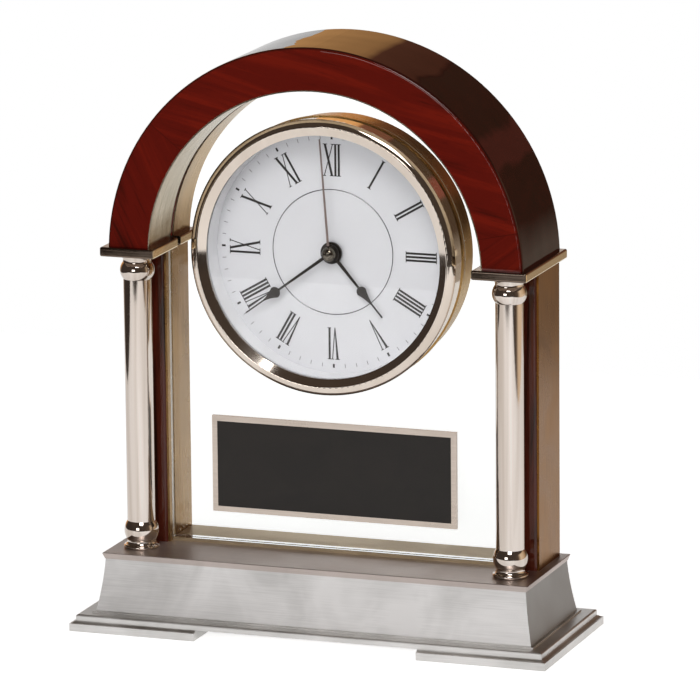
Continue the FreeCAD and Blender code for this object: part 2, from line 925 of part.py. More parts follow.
def towards(start, end, distance):
    """The point at a distance from one (radius, y) point towards another."""
    share = distance / math.hypot(end[0] - start[0], end[1] - start[1])
    return (start[0] + share * (end[0] - start[0]), start[1] + share * (end[1] - start[1]))


def make_bezel():
    """The bezel: a bevel inside, a rounded shoulder outside, and a skirt rolled in behind the dial carrier."""
    rebate_y = bezel_sight_y + bezel_sight_lip
    crimp_front_y = carrier_rear_y
    crimp_rear_y = crimp_front_y + bezel_crimp_thickness
    crimp_radius = bezel_bore_radius - bezel_crimp_width
    rim_middle = ((bezel_radius + bezel_side_radius) / 2, (bezel_rim_y + bezel_rim_back_y) / 2)
    rim_round = (bezel_radius, rim_middle[1])
    sight = (bezel_sight_radius, bezel_sight_y)
    crest = (bezel_crest_radius, bezel_crest_y)
    rim = (bezel_radius, bezel_rim_y)
    crest_start = towards(crest, sight, bezel_crest_round)
    crest_end = towards(crest, rim, bezel_crest_round)
    chord_middle = tuple((start + end) / 2 for start, end in zip(crest_start, crest_end))
    crest_top = tuple((middle + tip) / 2 for middle, tip in zip(chord_middle, crest))
    shoulder_middle = tuple((start + end) / 2 for start, end in zip(crest_end, rim))
    run, rise = rim[0] - crest_end[0], rim[1] - crest_end[1]
    swell = bezel_shoulder_swell / math.hypot(run, rise)
    shoulder = (shoulder_middle[0] + swell * rise, shoulder_middle[1] - swell * run)
    return turned(
        (bezel_sight_radius, rebate_y),
        sight,
        crest_start,
        (crest_top, crest_end),
        (shoulder, rim),
        (rim_round, (bezel_side_radius, bezel_rim_back_y)),
        (bezel_side_radius, bezel_side_rear_y),
        (bezel_skirt_radius, bezel_side_rear_y),
        (bezel_skirt_radius, crimp_rear_y),
        (crimp_radius, crimp_rear_y),
        (crimp_radius, crimp_front_y),
        (bezel_bore_radius, crimp_front_y),
        (bezel_bore_radius, rebate_y),
    )


def bored_disc(radius, front_y, rear_y):
    """A disc that fits the bore of the bezel."""
    return head_rod(radius, centre_axis, front_y, rear_y)


head_stack_radius = bezel_bore_radius - head_fit_gap
crystal_front_y = bezel_sight_y + bezel_sight_lip
crystal_rear_y = crystal_front_y + crystal_thickness


def make_crystal():
    """The flat glass over the dial."""
    return bored_disc(head_stack_radius, crystal_front_y, crystal_rear_y)


def make_reflector_ring():
    """The white ring between the glass and the dial."""
    ring = bored_disc(head_stack_radius, crystal_rear_y, dial_front_y)
    return ring.cut(bored_disc(bezel_sight_radius, crystal_rear_y, dial_front_y))


def make_dial():
    """The dial disc with the hole for the hand tubes."""
    dial = bored_disc(head_stack_radius, dial_front_y, dial_rear_y)
    return dial.cut(bored_disc(dial_hole_radius, dial_front_y, dial_rear_y))


def make_dial_carrier():
    """The disc behind the dial that the movement is clamped to, with a recess for its nut."""
    carrier = bored_disc(head_stack_radius, dial_rear_y, carrier_rear_y)
    carrier = carrier.cut(bored_disc(carrier_hole_radius, dial_rear_y, carrier_rear_y))
    return carrier.cut(bored_disc(carrier_recess_radius, dial_rear_y, dial_rear_y + carrier_recess_depth))


def make_drum():
    """The metal drum in the hole of the glass: its flange bears on the glass, and its back has a window."""
    inner_radius = bezel_skirt_radius + glue_gap
    drum = head_rod(drum_radius, centre_axis, bezel_side_rear_y, drum_rear_y)
    flange = head_rod(drum_flange_radius, centre_axis, bezel_side_rear_y, gasket_front_y)
    drum = drum.fuse(flange).removeSplitter()
    drum = drum.cut(head_rod(inner_radius, centre_axis, bezel_side_rear_y, drum_rear_y - drum_wall))
    half = movement_half + drum_window_gap
    return drum.cut(rounded_slab(half, half, drum_window_round, drum_rear_y - drum_wall, drum_rear_y))


def make_head_gasket():
    """The rubber ring under the drum's flange, with a thin sleeve in the hole of the glass."""
    sleeve_radius = (drum_radius + glass_hole_radius) / 2
    inner_radius = drum_radius + glue_gap
    return turned(
        (inner_radius, gasket_front_y),
        (gasket_radius, gasket_front_y),
        (gasket_radius, glass_front_y),
        (sleeve_radius, glass_front_y),
        (sleeve_radius, glass_rear_y),
        (inner_radius, glass_rear_y),
    )


# Movement


def make_movement_plate():
    """The front plate with the threaded bush, the pivot holes and the motion wheel's post."""
    plate = rounded_slab(movement_half, movement_half, movement_round, movement_front_y, movement_inner_y)
    plate = plate.fuse(head_rod(bush_radius, centre_axis, dial_rear_y + bush_recess_gap, movement_inner_y))
    plate = plate.cut(head_rod(bush_bore_radius, centre_axis, dial_rear_y, movement_inner_y))
    pivot_floor_y = movement_inner_y - pivot_depth
    for axis in (third_axis, intermediate_axis, rotor_axis, knob_axis):
        plate = plate.cut(head_rod(arbor_radius + pivot_gap, axis, pivot_floor_y, movement_inner_y))
    post = head_rod(motion_post_radius, motion_axis, pivot_floor_y, minute_wheel_y - running_gap)
    return plate.fuse(post).removeSplitter()


centre_boss_y = second_wheel_y + wheel_thickness + wheel_gap
intermediate_boss_y = intermediate_wheel_y + wheel_thickness + wheel_gap
rotor_boss_y = rotor_y + rotor_magnet_length + wheel_gap


def pivot_bosses():
    """The axis of each arbor that runs in the rear of the case, where its boss begins, and its radius."""
    return [
        (centre_axis, centre_boss_y, second_arbor_radius),
        (third_axis, centre_boss_y, arbor_radius),
        (intermediate_axis, intermediate_boss_y, arbor_radius),
        (rotor_axis, rotor_boss_y, arbor_radius),
    ]


def make_movement_case():
    """The case behind the plate: four walls, the rear wall, the cell bay and the pivot bosses."""
    case = rounded_slab(movement_half, movement_half, movement_round, movement_inner_y, movement_rear_y)
    inner = movement_half - case_wall
    train_floor = bay_roof + case_wall
    case = case.cut(head_box((-inner, movement_inner_y, train_floor), (inner, case_inner_rear_y, inner)))
    bay_rear_y = movement_rear_y + OVERRUN
    case = case.cut(head_box((-inner, movement_inner_y, bay_floor), (inner, bay_rear_y, bay_roof)))
    for axis, front_y, radius in pivot_bosses():
        boss_radius = pivot_boss_radius + radius - arbor_radius
        case = case.fuse(head_rod(boss_radius, axis, front_y, case_inner_rear_y))
        case = case.cut(head_rod(radius + pivot_gap, axis, front_y, front_y + pivot_boss_depth))
    for x, height in board_posts():
        case = case.fuse(head_rod(pivot_boss_radius, (x, height), board_rear_y, case_inner_rear_y))
    stem_hole = head_rod(knob_stem_radius + running_gap, knob_axis, case_inner_rear_y, movement_rear_y)
    return case.cut(stem_hole).removeSplitter()


board_rear_y = case_inner_rear_y - board_standoff
board_front_y = board_rear_y - board_thickness
board_left = case_wall + board_edge_gap - movement_half
board_right = board_left + board_width
board_top = movement_half - case_wall - board_edge_gap
board_bottom = board_top - board_height


def board_posts():
    """The two posts of the case that carry the circuit board."""
    x = (board_left + board_right) / 2
    inset = board_width / 4
    return [(x, board_top - inset), (x, board_bottom + inset)]


def make_circuit_board():
    """The board with its chip under a drop of resin and the can of the oscillator."""
    board = head_box((board_left, board_front_y, board_bottom), (board_right, board_rear_y, board_top))
    middle_x = (board_left + board_right) / 2
    middle = (board_top + board_bottom) / 2
    chip = head_rod(chip_radius, (middle_x, middle), board_front_y - chip_height, board_front_y)
    can_y = board_front_y - oscillator_radius + running_gap
    can_x = middle_x - oscillator_length / 2
    can_z = clock_z + middle - chip_radius - 2 * oscillator_radius
    can = rod(oscillator_radius, (can_x, can_y, can_z), (can_x + oscillator_length, can_y, can_z))
    return board.fuse([chip, can])


def make_bush_nut():
    """The flat nut on the bush, sunk in the carrier behind the dial."""
    front_y = dial_rear_y + bush_recess_gap
    blank = hexagon(bush_nut_across_flats, V(0, front_y, clock_z), bush_nut_height, V(0, 1, 0))
    return blank.cut(head_rod(bush_radius + thread_gap, centre_axis, front_y, front_y + bush_nut_height))


def wheel_and_pinion(axis, wheel, pinion):
    """A wheel fused with a pinion, each (teeth, module, front_y, thickness, phase)."""
    wheel_shape = gear(wheel[0], wheel[1], axis, *wheel[2:])
    pinion_shape = gear(pinion[0], pinion[1], axis, *pinion[2:])
    return wheel_shape.fuse(pinion_shape)


def arbor(axis, radius, front_y, boss_y):
    """An arbor from its front pivot into its boss in the rear of the case."""
    return head_rod(radius, axis, front_y, boss_y + pivot_boss_depth - running_gap)


def make_rotor():
    """The motor's rotor: a disc magnet and a pinion on a thin arbor."""
    toward = bearing_between(rotor_axis, intermediate_axis)
    pinion_y = intermediate_wheel_y - running_gap
    pinion = gear(rotor_pinion_teeth, train_module, rotor_axis, pinion_y, pinion_thickness, toward)
    magnet = head_rod(rotor_magnet_radius, rotor_axis, rotor_y, rotor_y + rotor_magnet_length)
    shaft = arbor(rotor_axis, arbor_radius, pivot_front_y, rotor_boss_y)
    neck_radius = train_module * rotor_pinion_teeth / 2 - dedendum_share * train_module
    neck = head_rod(neck_radius, rotor_axis, intermediate_wheel_y, rotor_y)
    return pinion.fuse([magnet, shaft, neck]).removeSplitter()


def make_intermediate_wheel():
    """The wheel between the rotor and the second wheel."""
    wheel_phase = bearing_between(intermediate_axis, rotor_axis) + half_tooth(intermediate_wheel_teeth)
    pinion_phase = bearing_between(intermediate_axis, centre_axis)
    pair = wheel_and_pinion(
        intermediate_axis,
        (intermediate_wheel_teeth, train_module, intermediate_wheel_y, wheel_thickness, wheel_phase),
        (intermediate_pinion_teeth, train_module, second_wheel_y - running_gap, pinion_thickness, pinion_phase),
    )
    neck_radius = train_module * intermediate_pinion_teeth / 2 - dedendum_share * train_module
    neck = head_rod(neck_radius, intermediate_axis, second_wheel_y, intermediate_wheel_y)
    shaft = arbor(intermediate_axis, arbor_radius, pivot_front_y, intermediate_boss_y)
    return pair.fuse([neck, shaft]).removeSplitter()


def make_second_wheel():
    """The second wheel and its pinion on the long arbor that carries the second hand."""
    wheel_phase = bearing_between(centre_axis, intermediate_axis) + half_tooth(second_wheel_teeth)
    pinion_phase = bearing_between(centre_axis, third_axis)
    pair = wheel_and_pinion(
        centre_axis,
        (second_wheel_teeth, train_module, second_wheel_y, wheel_thickness, wheel_phase),
        (second_pinion_teeth, train_module, third_wheel_y - running_gap, pinion_thickness, pinion_phase),
    )
    neck_radius = train_module * second_pinion_teeth / 2 - dedendum_share * train_module
    neck = head_rod(neck_radius, centre_axis, third_wheel_y, second_wheel_y)
    shaft = arbor(centre_axis, second_arbor_radius, second_hand_y, centre_boss_y)
    return pair.fuse([neck, shaft]).removeSplitter()


def make_third_wheel():
    """The third wheel, driven by the second pinion and driving the minute wheel."""
    wheel_phase = bearing_between(third_axis, centre_axis) + half_tooth(third_wheel_teeth)
    pinion_phase = bearing_between(third_axis, centre_axis)
    pair = wheel_and_pinion(
        third_axis,
        (third_wheel_teeth, train_module, third_wheel_y, wheel_thickness, wheel_phase),
        (third_pinion_teeth, minute_wheel_module, minute_wheel_y - running_gap, pinion_thickness, pinion_phase),
    )
    neck_radius = minute_wheel_module * third_pinion_teeth / 2 - dedendum_share * minute_wheel_module
    neck = head_rod(neck_radius, third_axis, minute_wheel_y, third_wheel_y)
    shaft = arbor(third_axis, arbor_radius, pivot_front_y, centre_boss_y)
    return pair.fuse([neck, shaft]).removeSplitter()


def make_minute_wheel():
    """The minute wheel with its pinion and the tube that carries the minute hand."""
    wheel_phase = bearing_between(centre_axis, third_axis) + half_tooth(minute_wheel_teeth)
    pinion_phase = bearing_between(centre_axis, motion_axis)
    pinion_y = motion_wheel_y - running_gap
    pair = wheel_and_pinion(
        centre_axis,
        (minute_wheel_teeth, minute_wheel_module, minute_wheel_y, wheel_thickness, wheel_phase),
        (minute_pinion_teeth, motion_module, pinion_y, minute_wheel_y - pinion_y, pinion_phase),
    )
    tube = head_rod(minute_tube_radius, centre_axis, minute_hand_y - tube_end_stand, minute_wheel_y)
    bore_radius = second_arbor_radius + running_gap
    rear_y = minute_wheel_y + wheel_thickness
    bore = head_rod(bore_radius, centre_axis, minute_hand_y - tube_end_stand, rear_y)
    return pair.fuse(tube).cut(bore).removeSplitter()


def make_motion_wheel():
    """The motion wheel, whose pinion drives the hour wheel."""
    wheel_phase = bearing_between(motion_axis, centre_axis) + half_tooth(motion_wheel_teeth)
    pinion_phase = bearing_between(motion_axis, centre_axis)
    pair = wheel_and_pinion(
        motion_axis,
        (motion_wheel_teeth, motion_module, motion_wheel_y, wheel_thickness, wheel_phase),
        (motion_pinion_teeth, hour_wheel_module, hour_wheel_y, motion_wheel_y - hour_wheel_y, pinion_phase),
    )
    bore = head_rod(motion_post_radius + pivot_gap, motion_axis, hour_wheel_y, motion_wheel_y + wheel_thickness)
    return pair.cut(bore).removeSplitter()


def make_hour_wheel():
    """The hour wheel and the tube that carries the hour hand."""
    phase = bearing_between(centre_axis, motion_axis) + half_tooth(hour_wheel_teeth)
    wheel = gear(hour_wheel_teeth, hour_wheel_module, centre_axis, hour_wheel_y, wheel_thickness, phase)
    tube = head_rod(hour_tube_radius, centre_axis, hour_hand_y - tube_end_stand, hour_wheel_y)
    bore_radius = minute_tube_radius + running_gap
    bore = head_rod(bore_radius, centre_axis, hour_hand_y - tube_end_stand, hour_wheel_y + wheel_thickness)
    return wheel.fuse(tube).cut(bore).removeSplitter()


def make_set_knob():
    """The knob on the back that sets the hands, on a stem with a pinion."""
    phase = bearing_between(knob_axis, motion_axis)
    pinion_y = motion_wheel_y - running_gap
    pinion = gear(knob_pinion_teeth, motion_module, knob_axis, pinion_y, pinion_thickness, phase)
    pivot = head_rod(arbor_radius, knob_axis, pivot_front_y, motion_wheel_y)
    knob_front_y = movement_rear_y + knob_standoff
    stem = head_rod(knob_stem_radius, knob_axis, motion_wheel_y, knob_front_y)
    knob = head_rod(knob_radius, knob_axis, knob_front_y, knob_front_y + knob_height)
    for step in range(knob_grip_count):
        grip_axis = offset(FULL_TURN * step / knob_grip_count, knob_radius, knob_axis)
        knob = knob.cut(head_rod(knob_grip_radius, grip_axis, knob_front_y, knob_front_y + knob_height))
    return pinion.fuse([pivot, stem, knob]).removeSplitter()


stator_y = rotor_y + (rotor_magnet_length - stator_thickness) / 2


def make_motor_stator():
    """The stator: a plate round the rotor with two legs and the core of the coil."""
    x, height = rotor_axis
    rear_y = stator_y + stator_thickness
    top = height + coil_rise + coil_core_height / 2
    low = height - stator_half_height
    high = height + stator_half_height
    body = head_box((x - stator_half_length, stator_y, low), (x + stator_half_length, rear_y, high))
    legs = []
    for side in (-1, 1):
        outer = x + side * stator_half_length
        inner = outer - side * stator_leg_width
        left = min(outer, inner)
        right = max(outer, inner)
        legs.append(head_box((left, stator_y, height), (right, rear_y, top)))
    core_low = height + coil_rise - coil_core_height / 2
    core = head_box((x - stator_half_length, stator_y, core_low), (x + stator_half_length, rear_y, top))
    hole = head_rod(rotor_magnet_radius + stator_air_gap, rotor_axis, stator_y, rear_y)
    return body.fuse(legs + [core]).cut(hole).removeSplitter()


def make_motor_coil():
    """The coil on its bobbin, round the core of the stator."""
    x, height = rotor_axis
    coil_y = stator_y + stator_thickness / 2
    coil_z = clock_z + height + coil_rise
    left = x - coil_half_length
    right = x + coil_half_length
    winding = rod(coil_radius - coil_winding_drop, (left, coil_y, coil_z), (right, coil_y, coil_z))
    left_flange = rod(coil_radius, (left, coil_y, coil_z), (left + coil_flange, coil_y, coil_z))
    right_flange = rod(coil_radius, (right - coil_flange, coil_y, coil_z), (right, coil_y, coil_z))
    half_core = coil_core_height / 2 + coil_core_gap
    core_front_y = stator_y - coil_core_gap
    core_rear_y = stator_y + stator_thickness + coil_core_gap
    slot = box((left, core_front_y, coil_z - half_core), (right, core_rear_y, coil_z + half_core))
    return winding.fuse([left_flange, right_flange]).cut(slot).removeSplitter()


cell_height = (bay_floor + bay_roof) / 2
cell_y = movement_inner_y + cell_floor_gap + cell_radius


def make_cell():
    """The dry cell that lies across the bay, open to the rear."""
    z = clock_z + cell_height
    body = rod(cell_radius, (-cell_half_length, cell_y, z), (cell_half_length, cell_y, z))
    nub_end = cell_half_length + cell_nub_length
    return body.fuse(rod(cell_nub_radius, (cell_half_length, cell_y, z), (nub_end, cell_y, z)))


def make_cell_contacts():
    """The flat contact at the nub and the coned spring contact at the other end."""
    z = clock_z + cell_height
    wall_x = movement_half - case_wall
    half = contact_height / 2
    low = (cell_y - half, z - half)
    high = (cell_y + half, z + half)
    flat_x = cell_half_length + cell_nub_length + contact_gap
    flat = box((flat_x, low[0], low[1]), (wall_x, high[0], high[1]))
    plate = box((-wall_x, low[0], low[1]), (contact_thickness - wall_x, high[0], high[1]))
    cone_length = wall_x - contact_thickness - cell_half_length - contact_gap
    cone_start = V(contact_thickness - wall_x, cell_y, z)
    cone = Part.makeCone(spring_base_radius, spring_tip_radius, cone_length, cone_start, V(1, 0, 0))
    return Part.makeCompound([flat, plate.fuse(cone)])


# Hands


def blade(length, bulb_at, bulb_radius, bulb_taper, root_width, front_y):
    """A slender hand that swells into a pear-shaped bulb, pointing straight up."""
    half_root = root_width / 2
    half_neck = blade_neck / 2
    half_tip = blade_tip / 2
    neck_at = bulb_at - bulb_radius
    taper_at = bulb_at + bulb_taper
    waist_width_share = 0.2
    waist_place_share = 0.62
    shoulder_bearing = 126.0
    waist = (half_tip + waist_width_share * bulb_radius, bulb_at + waist_place_share * bulb_taper)
    shoulder = offset(shoulder_bearing, bulb_radius, (0.0, bulb_at))
    outline = face(
        lambda x, z: V(x, front_y, clock_z + z),
        (half_root, 0.0),
        (half_neck, neck_at),
        (shoulder, (bulb_radius, bulb_at)),
        (waist, (half_tip, taper_at)),
        (half_tip, length),
        (-half_tip, length),
        (-half_tip, taper_at),
        ((-waist[0], waist[1]), (-bulb_radius, bulb_at)),
        ((-shoulder[0], shoulder[1]), (-half_neck, neck_at)),
        (-half_root, 0.0),
    )
    return outline.extrude(V(0, hand_thickness, 0))


def pointed(shape, bearing):
    """Turns a hand from straight up to its clockwise bearing."""
    return shape.rotated(V(0, 0, clock_z), V(0, 1, 0), bearing)


def make_hour_hand():
    """The hour hand, pressed on the hour tube."""
    hub_rear_y = hour_hand_y + 2 * hand_thickness
    arm = blade(
        hour_hand_length, hour_bulb_at, hour_bulb_radius, hour_bulb_taper, hour_blade_root, hour_hand_y
    )
    hub = head_rod(hour_hub_radius, centre_axis, hour_hand_y, hub_rear_y)
    hole = head_rod(hour_tube_radius + hand_press_gap, centre_axis, hour_hand_y, hub_rear_y)
    bearing = last_hour_bearing + hour_turn_share * shown_minute_bearing
    return pointed(arm.fuse(hub).cut(hole).removeSplitter(), bearing)


def make_minute_hand():
    """The minute hand, pressed on the minute tube."""
    hub_rear_y = minute_hand_y + 2 * hand_thickness
    arm = blade(
        minute_hand_length, minute_bulb_at, minute_bulb_radius, minute_bulb_taper, minute_blade_root,
        minute_hand_y
    )
    hub = head_rod(minute_hub_radius, centre_axis, minute_hand_y, hub_rear_y)
    hole = head_rod(minute_tube_radius + hand_press_gap, centre_axis, minute_hand_y, hub_rear_y)
    return pointed(arm.fuse(hub).cut(hole).removeSplitter(), shown_minute_bearing)


def make_second_hand():
    """The thin second hand under a polished domed hub, pressed on the second arbor."""
    half_root = second_hand_root / 2
    half_tip = second_hand_tip / 2
    needle = face(
        lambda x, z: V(x, second_hand_y, clock_z + z),
        (-half_root, 0.0),
        (half_root, 0.0),
        (half_tip, second_hand_length),
        (-half_tip, second_hand_length),
    ).extrude(V(0, hand_thickness, 0))
    rear_y = second_hand_y + 2 * hand_thickness
    dome_share = 0.72
    dome_shoulder = (dome_share * second_hub_radius, second_hand_y - dome_share * second_hub_dome)
    hub = turned(
        (0.0, rear_y),
        (second_hub_radius, rear_y),
        (second_hub_radius, second_hand_y),
        (dome_shoulder, (0.0, second_hand_y - second_hub_dome)),
    )
    hole = head_rod(second_arbor_radius + hand_press_gap, centre_axis, second_hand_y, rear_y)
    return pointed(needle.fuse(hub).cut(hole).removeSplitter(), shown_second_bearing)


# The assembly: every piece under its own name


def single_pieces():
    """The pieces that the clock has once."""
    return {
        "base_body": make_base_body,
        "base_moulding": make_base_moulding,
        "base_top_plate": make_base_top_plate,
        "base_cover": make_base_cover,
        "foot_pads": make_foot_pads,
        "base_screws": make_base_screws,
        "tie_rods": make_tie_rods,
        "tie_rod_nuts": make_tie_rod_nuts,
        "leg_screws": make_leg_screws,
        "arch": make_arch,
        "arch_lining_front": make_arch_lining_front,
        "arch_lining_rear": make_arch_lining_rear,
        "sill": make_sill,
        "glass_panel": make_glass_panel,
        "presentation_plate": make_presentation_plate,
        "presentation_field": make_presentation_field,
        "presentation_pad": make_presentation_pad,
        "bezel": make_bezel,
        "crystal": make_crystal,
        "reflector_ring": make_reflector_ring,
        "dial": make_dial,
        "dial_carrier": make_dial_carrier,
        "drum": make_drum,
        "head_gasket": make_head_gasket,
        "movement_plate": make_movement_plate,
        "movement_case": make_movement_case,
        "bush_nut": make_bush_nut,
        "circuit_board": make_circuit_board,
        "motor_stator": make_motor_stator,
        "motor_coil": make_motor_coil,
        "cell": make_cell,
        "cell_contacts": make_cell_contacts,
        "rotor": make_rotor,
        "intermediate_wheel": make_intermediate_wheel,
        "second_wheel": make_second_wheel,
        "third_wheel": make_third_wheel,
        "minute_wheel": make_minute_wheel,
        "motion_wheel": make_motion_wheel,
        "hour_wheel": make_hour_wheel,
        "set_knob": make_set_knob,
        "hour_hand": make_hour_hand,
        "minute_hand": make_minute_hand,
        "second_hand": make_second_hand,
    }


def paired_pieces():
    """The pieces of the right side, which the left side has mirrored."""
    return {
        "foot": make_foot,
        "column_base": make_column_base,
        "column_shaft": make_column_shaft,
        "column_capital": make_column_capital,
        "leg_post": make_leg_post,
        "leg_outer_plate": make_leg_outer_plate,
        "leg_inner_plate": make_leg_inner_plate,
        "ledge": make_ledge,
    }


def main():
    """Builds every piece and writes it to its own file."""
    os.makedirs("parts", exist_ok=True)
    pieces = {name: make() for name, make in single_pieces().items()}
    for name, make in paired_pieces().items():
        right = make()
        pieces[name + "_right"] = right
        pieces[name + "_left"] = mirrored(right)
    for name, shape in pieces.items():
        shape.exportStep(f"parts/{name}.step")
        print(f"{name}: {len(shape.Solids)} solid(s), {shape.Volume:.2f} mm3, valid {shape.isValid()}")


main()
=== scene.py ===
import logging
import math
from dataclasses import dataclass
from enum import Enum
from typing import Any, Optional, Protocol, Sequence

import bmesh
import bpy
from mathutils import Matrix, Vector


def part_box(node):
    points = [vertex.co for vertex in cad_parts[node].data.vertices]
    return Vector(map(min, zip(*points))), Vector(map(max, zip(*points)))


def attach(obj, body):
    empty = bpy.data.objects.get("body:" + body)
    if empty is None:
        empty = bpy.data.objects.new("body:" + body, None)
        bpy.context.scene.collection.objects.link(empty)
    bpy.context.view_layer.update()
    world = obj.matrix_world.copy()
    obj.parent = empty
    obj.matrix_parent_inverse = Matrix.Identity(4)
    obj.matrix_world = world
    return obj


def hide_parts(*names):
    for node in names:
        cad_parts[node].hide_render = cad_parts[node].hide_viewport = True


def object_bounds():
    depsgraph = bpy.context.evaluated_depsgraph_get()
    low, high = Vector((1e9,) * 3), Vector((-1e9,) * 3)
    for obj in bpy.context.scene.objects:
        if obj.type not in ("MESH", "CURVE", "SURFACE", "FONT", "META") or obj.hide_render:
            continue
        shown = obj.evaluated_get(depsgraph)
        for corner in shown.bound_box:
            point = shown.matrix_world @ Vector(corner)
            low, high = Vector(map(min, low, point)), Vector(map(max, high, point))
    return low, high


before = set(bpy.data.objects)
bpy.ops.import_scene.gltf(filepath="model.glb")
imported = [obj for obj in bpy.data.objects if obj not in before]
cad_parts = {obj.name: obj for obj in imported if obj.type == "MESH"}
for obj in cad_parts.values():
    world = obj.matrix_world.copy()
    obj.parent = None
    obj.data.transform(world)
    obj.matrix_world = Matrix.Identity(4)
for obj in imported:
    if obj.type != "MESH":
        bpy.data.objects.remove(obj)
cad_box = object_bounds()

log = logging.getLogger("mantel_clock")

Colour = tuple[float, float, float]
Triple = tuple[float, float, float]
Pair = tuple[float, float]
Outline = Sequence[Pair]
Stops = Sequence[tuple[float, Colour]]
Socket = bpy.types.NodeSocket
Material = bpy.types.Material

MM = 0.001
WHITE: Colour = (1.0, 1.0, 1.0)

# The range that most of a noise lies in, and the two ways from none to all
NOISE_SPAN: Pair = (0.3, 0.7)
RISE: Pair = (0.0, 1.0)
FALL: Pair = (1.0, 0.0)


def shade(red: int, green: int, blue: int) -> Colour:
    """Turns a colour as a screen shows it into the linear colour that a shader takes.

    Args:
        red: red from 0 to 255.
        green: green from 0 to 255.
        blue: blue from 0 to 255.

    Returns:
        The three linear values.
    """
    return tuple(
        share / 12.92 if share <= 0.04045 else ((share + 0.055) / 1.055) ** 2.4
        for share in (red / 255, green / 255, blue / 255))


# Node work shared by all finishes


class NodeBench:
    """Adds and joins nodes in one tree."""

    def __init__(self, tree: bpy.types.NodeTree) -> None:
        """Clears the tree and keeps it."""
        self.tree = tree
        tree.nodes.clear()

    def feed(self, socket: Socket, value: Any) -> None:
        """Links a socket to an input, or sets the input's own value.

        Args:
            socket: the input to feed.
            value: an output socket, a number, a vector or a colour.
        """
        if isinstance(value, bpy.types.NodeSocket):
            self.tree.links.new(value, socket)
        elif socket.type == "RGBA" and len(value) == 3:
            socket.default_value = (*value, 1.0)
        else:
            socket.default_value = value

    def add(self, kind: str, inputs: Optional[dict[Any, Any]] = None, **settings: Any) -> bpy.types.Node:
        """Adds a node.

        Args:
            kind: the node's type.
            inputs: what feeds its inputs, by name or number.
            **settings: the node's own settings.

        Returns:
            The new node.
        """
        node = self.tree.nodes.new(kind)
        for name, value in settings.items():
            setattr(node, name, value)
        for name, value in (inputs or {}).items():
            self.feed(node.inputs[name], value)
        return node

    def math(self, operation: str, *values: Any) -> Socket:
        """The result of a sum, by its name, over numbers and sockets."""
        return self.add("ShaderNodeMath", dict(enumerate(values)), operation=operation).outputs[0]

    def blend(self, share: float, first: Socket, second: Socket) -> Socket:
        """Two values added, the first by its share and the second by the rest."""
        rest = self.math("MULTIPLY", second, 1.0 - share)
        return self.math("ADD", self.math("MULTIPLY", first, share), rest)

    def noise(self, vector: Socket, scale: float = 1.0, detail: float = 3.0, distortion: float = 0.0) -> Socket:
        """Soft random values around 0.5, with this many features to the metre."""
        inputs = {"Vector": vector, "Scale": scale, "Detail": detail, "Distortion": distortion}
        return self.add("ShaderNodeTexNoise", inputs).outputs[0]

    def ramp(self, value: Any, stops: Stops) -> Socket:
        """Colours a value.

        Args:
            value: the number to colour.
            stops: places from 0 to 1 with their colours, in order.

        Returns:
            The colour.
        """
        node = self.add("ShaderNodeValToRGB", {0: value})
        elements = node.color_ramp.elements
        while len(elements) < len(stops):
            elements.new(1.0)
        for element, (place, colour) in zip(elements, stops):
            element.position = place
            element.color = (*colour, 1.0)
        return node.outputs[0]

    def spread(self, value: Any, start: Pair, end: Pair = RISE) -> Socket:
        """Maps one range of numbers onto another and clamps it."""
        inputs = {0: value, 1: start[0], 2: start[1], 3: end[0], 4: end[1]}
        return self.add("ShaderNodeMapRange", inputs).outputs[0]

    def mix(self, share: Any, first: Any, second: Any) -> Socket:
        """Two colours mixed, with this share of the second."""
        return self.add("ShaderNodeMix", {0: share, 6: first, 7: second}, data_type="RGBA").outputs[2]

    def split(self, vector: Socket) -> tuple[Socket, Socket, Socket]:
        """The three parts of a vector."""
        outputs = self.add("ShaderNodeSeparateXYZ", {0: vector}).outputs
        return outputs[0], outputs[1], outputs[2]

    def join(self, x: Any, y: Any, z: Any) -> Socket:
        """A vector from three numbers."""
        return self.add("ShaderNodeCombineXYZ", {0: x, 1: y, 2: z}).outputs[0]

    def backdrop_share(self) -> Socket:
        """How far a ray shows the white backdrop, which only the eye sees, also through clear glass.

        Returns:
            One for such a ray and zero for any other.
        """
        path = self.add("ShaderNodeLightPath").outputs
        straight = self.math("LESS_THAN", path["Glossy Depth"], 0.5)
        through = self.math("MULTIPLY", path["Is Transmission Ray"], straight)
        return self.math("MAXIMUM", path["Is Camera Ray"], through)


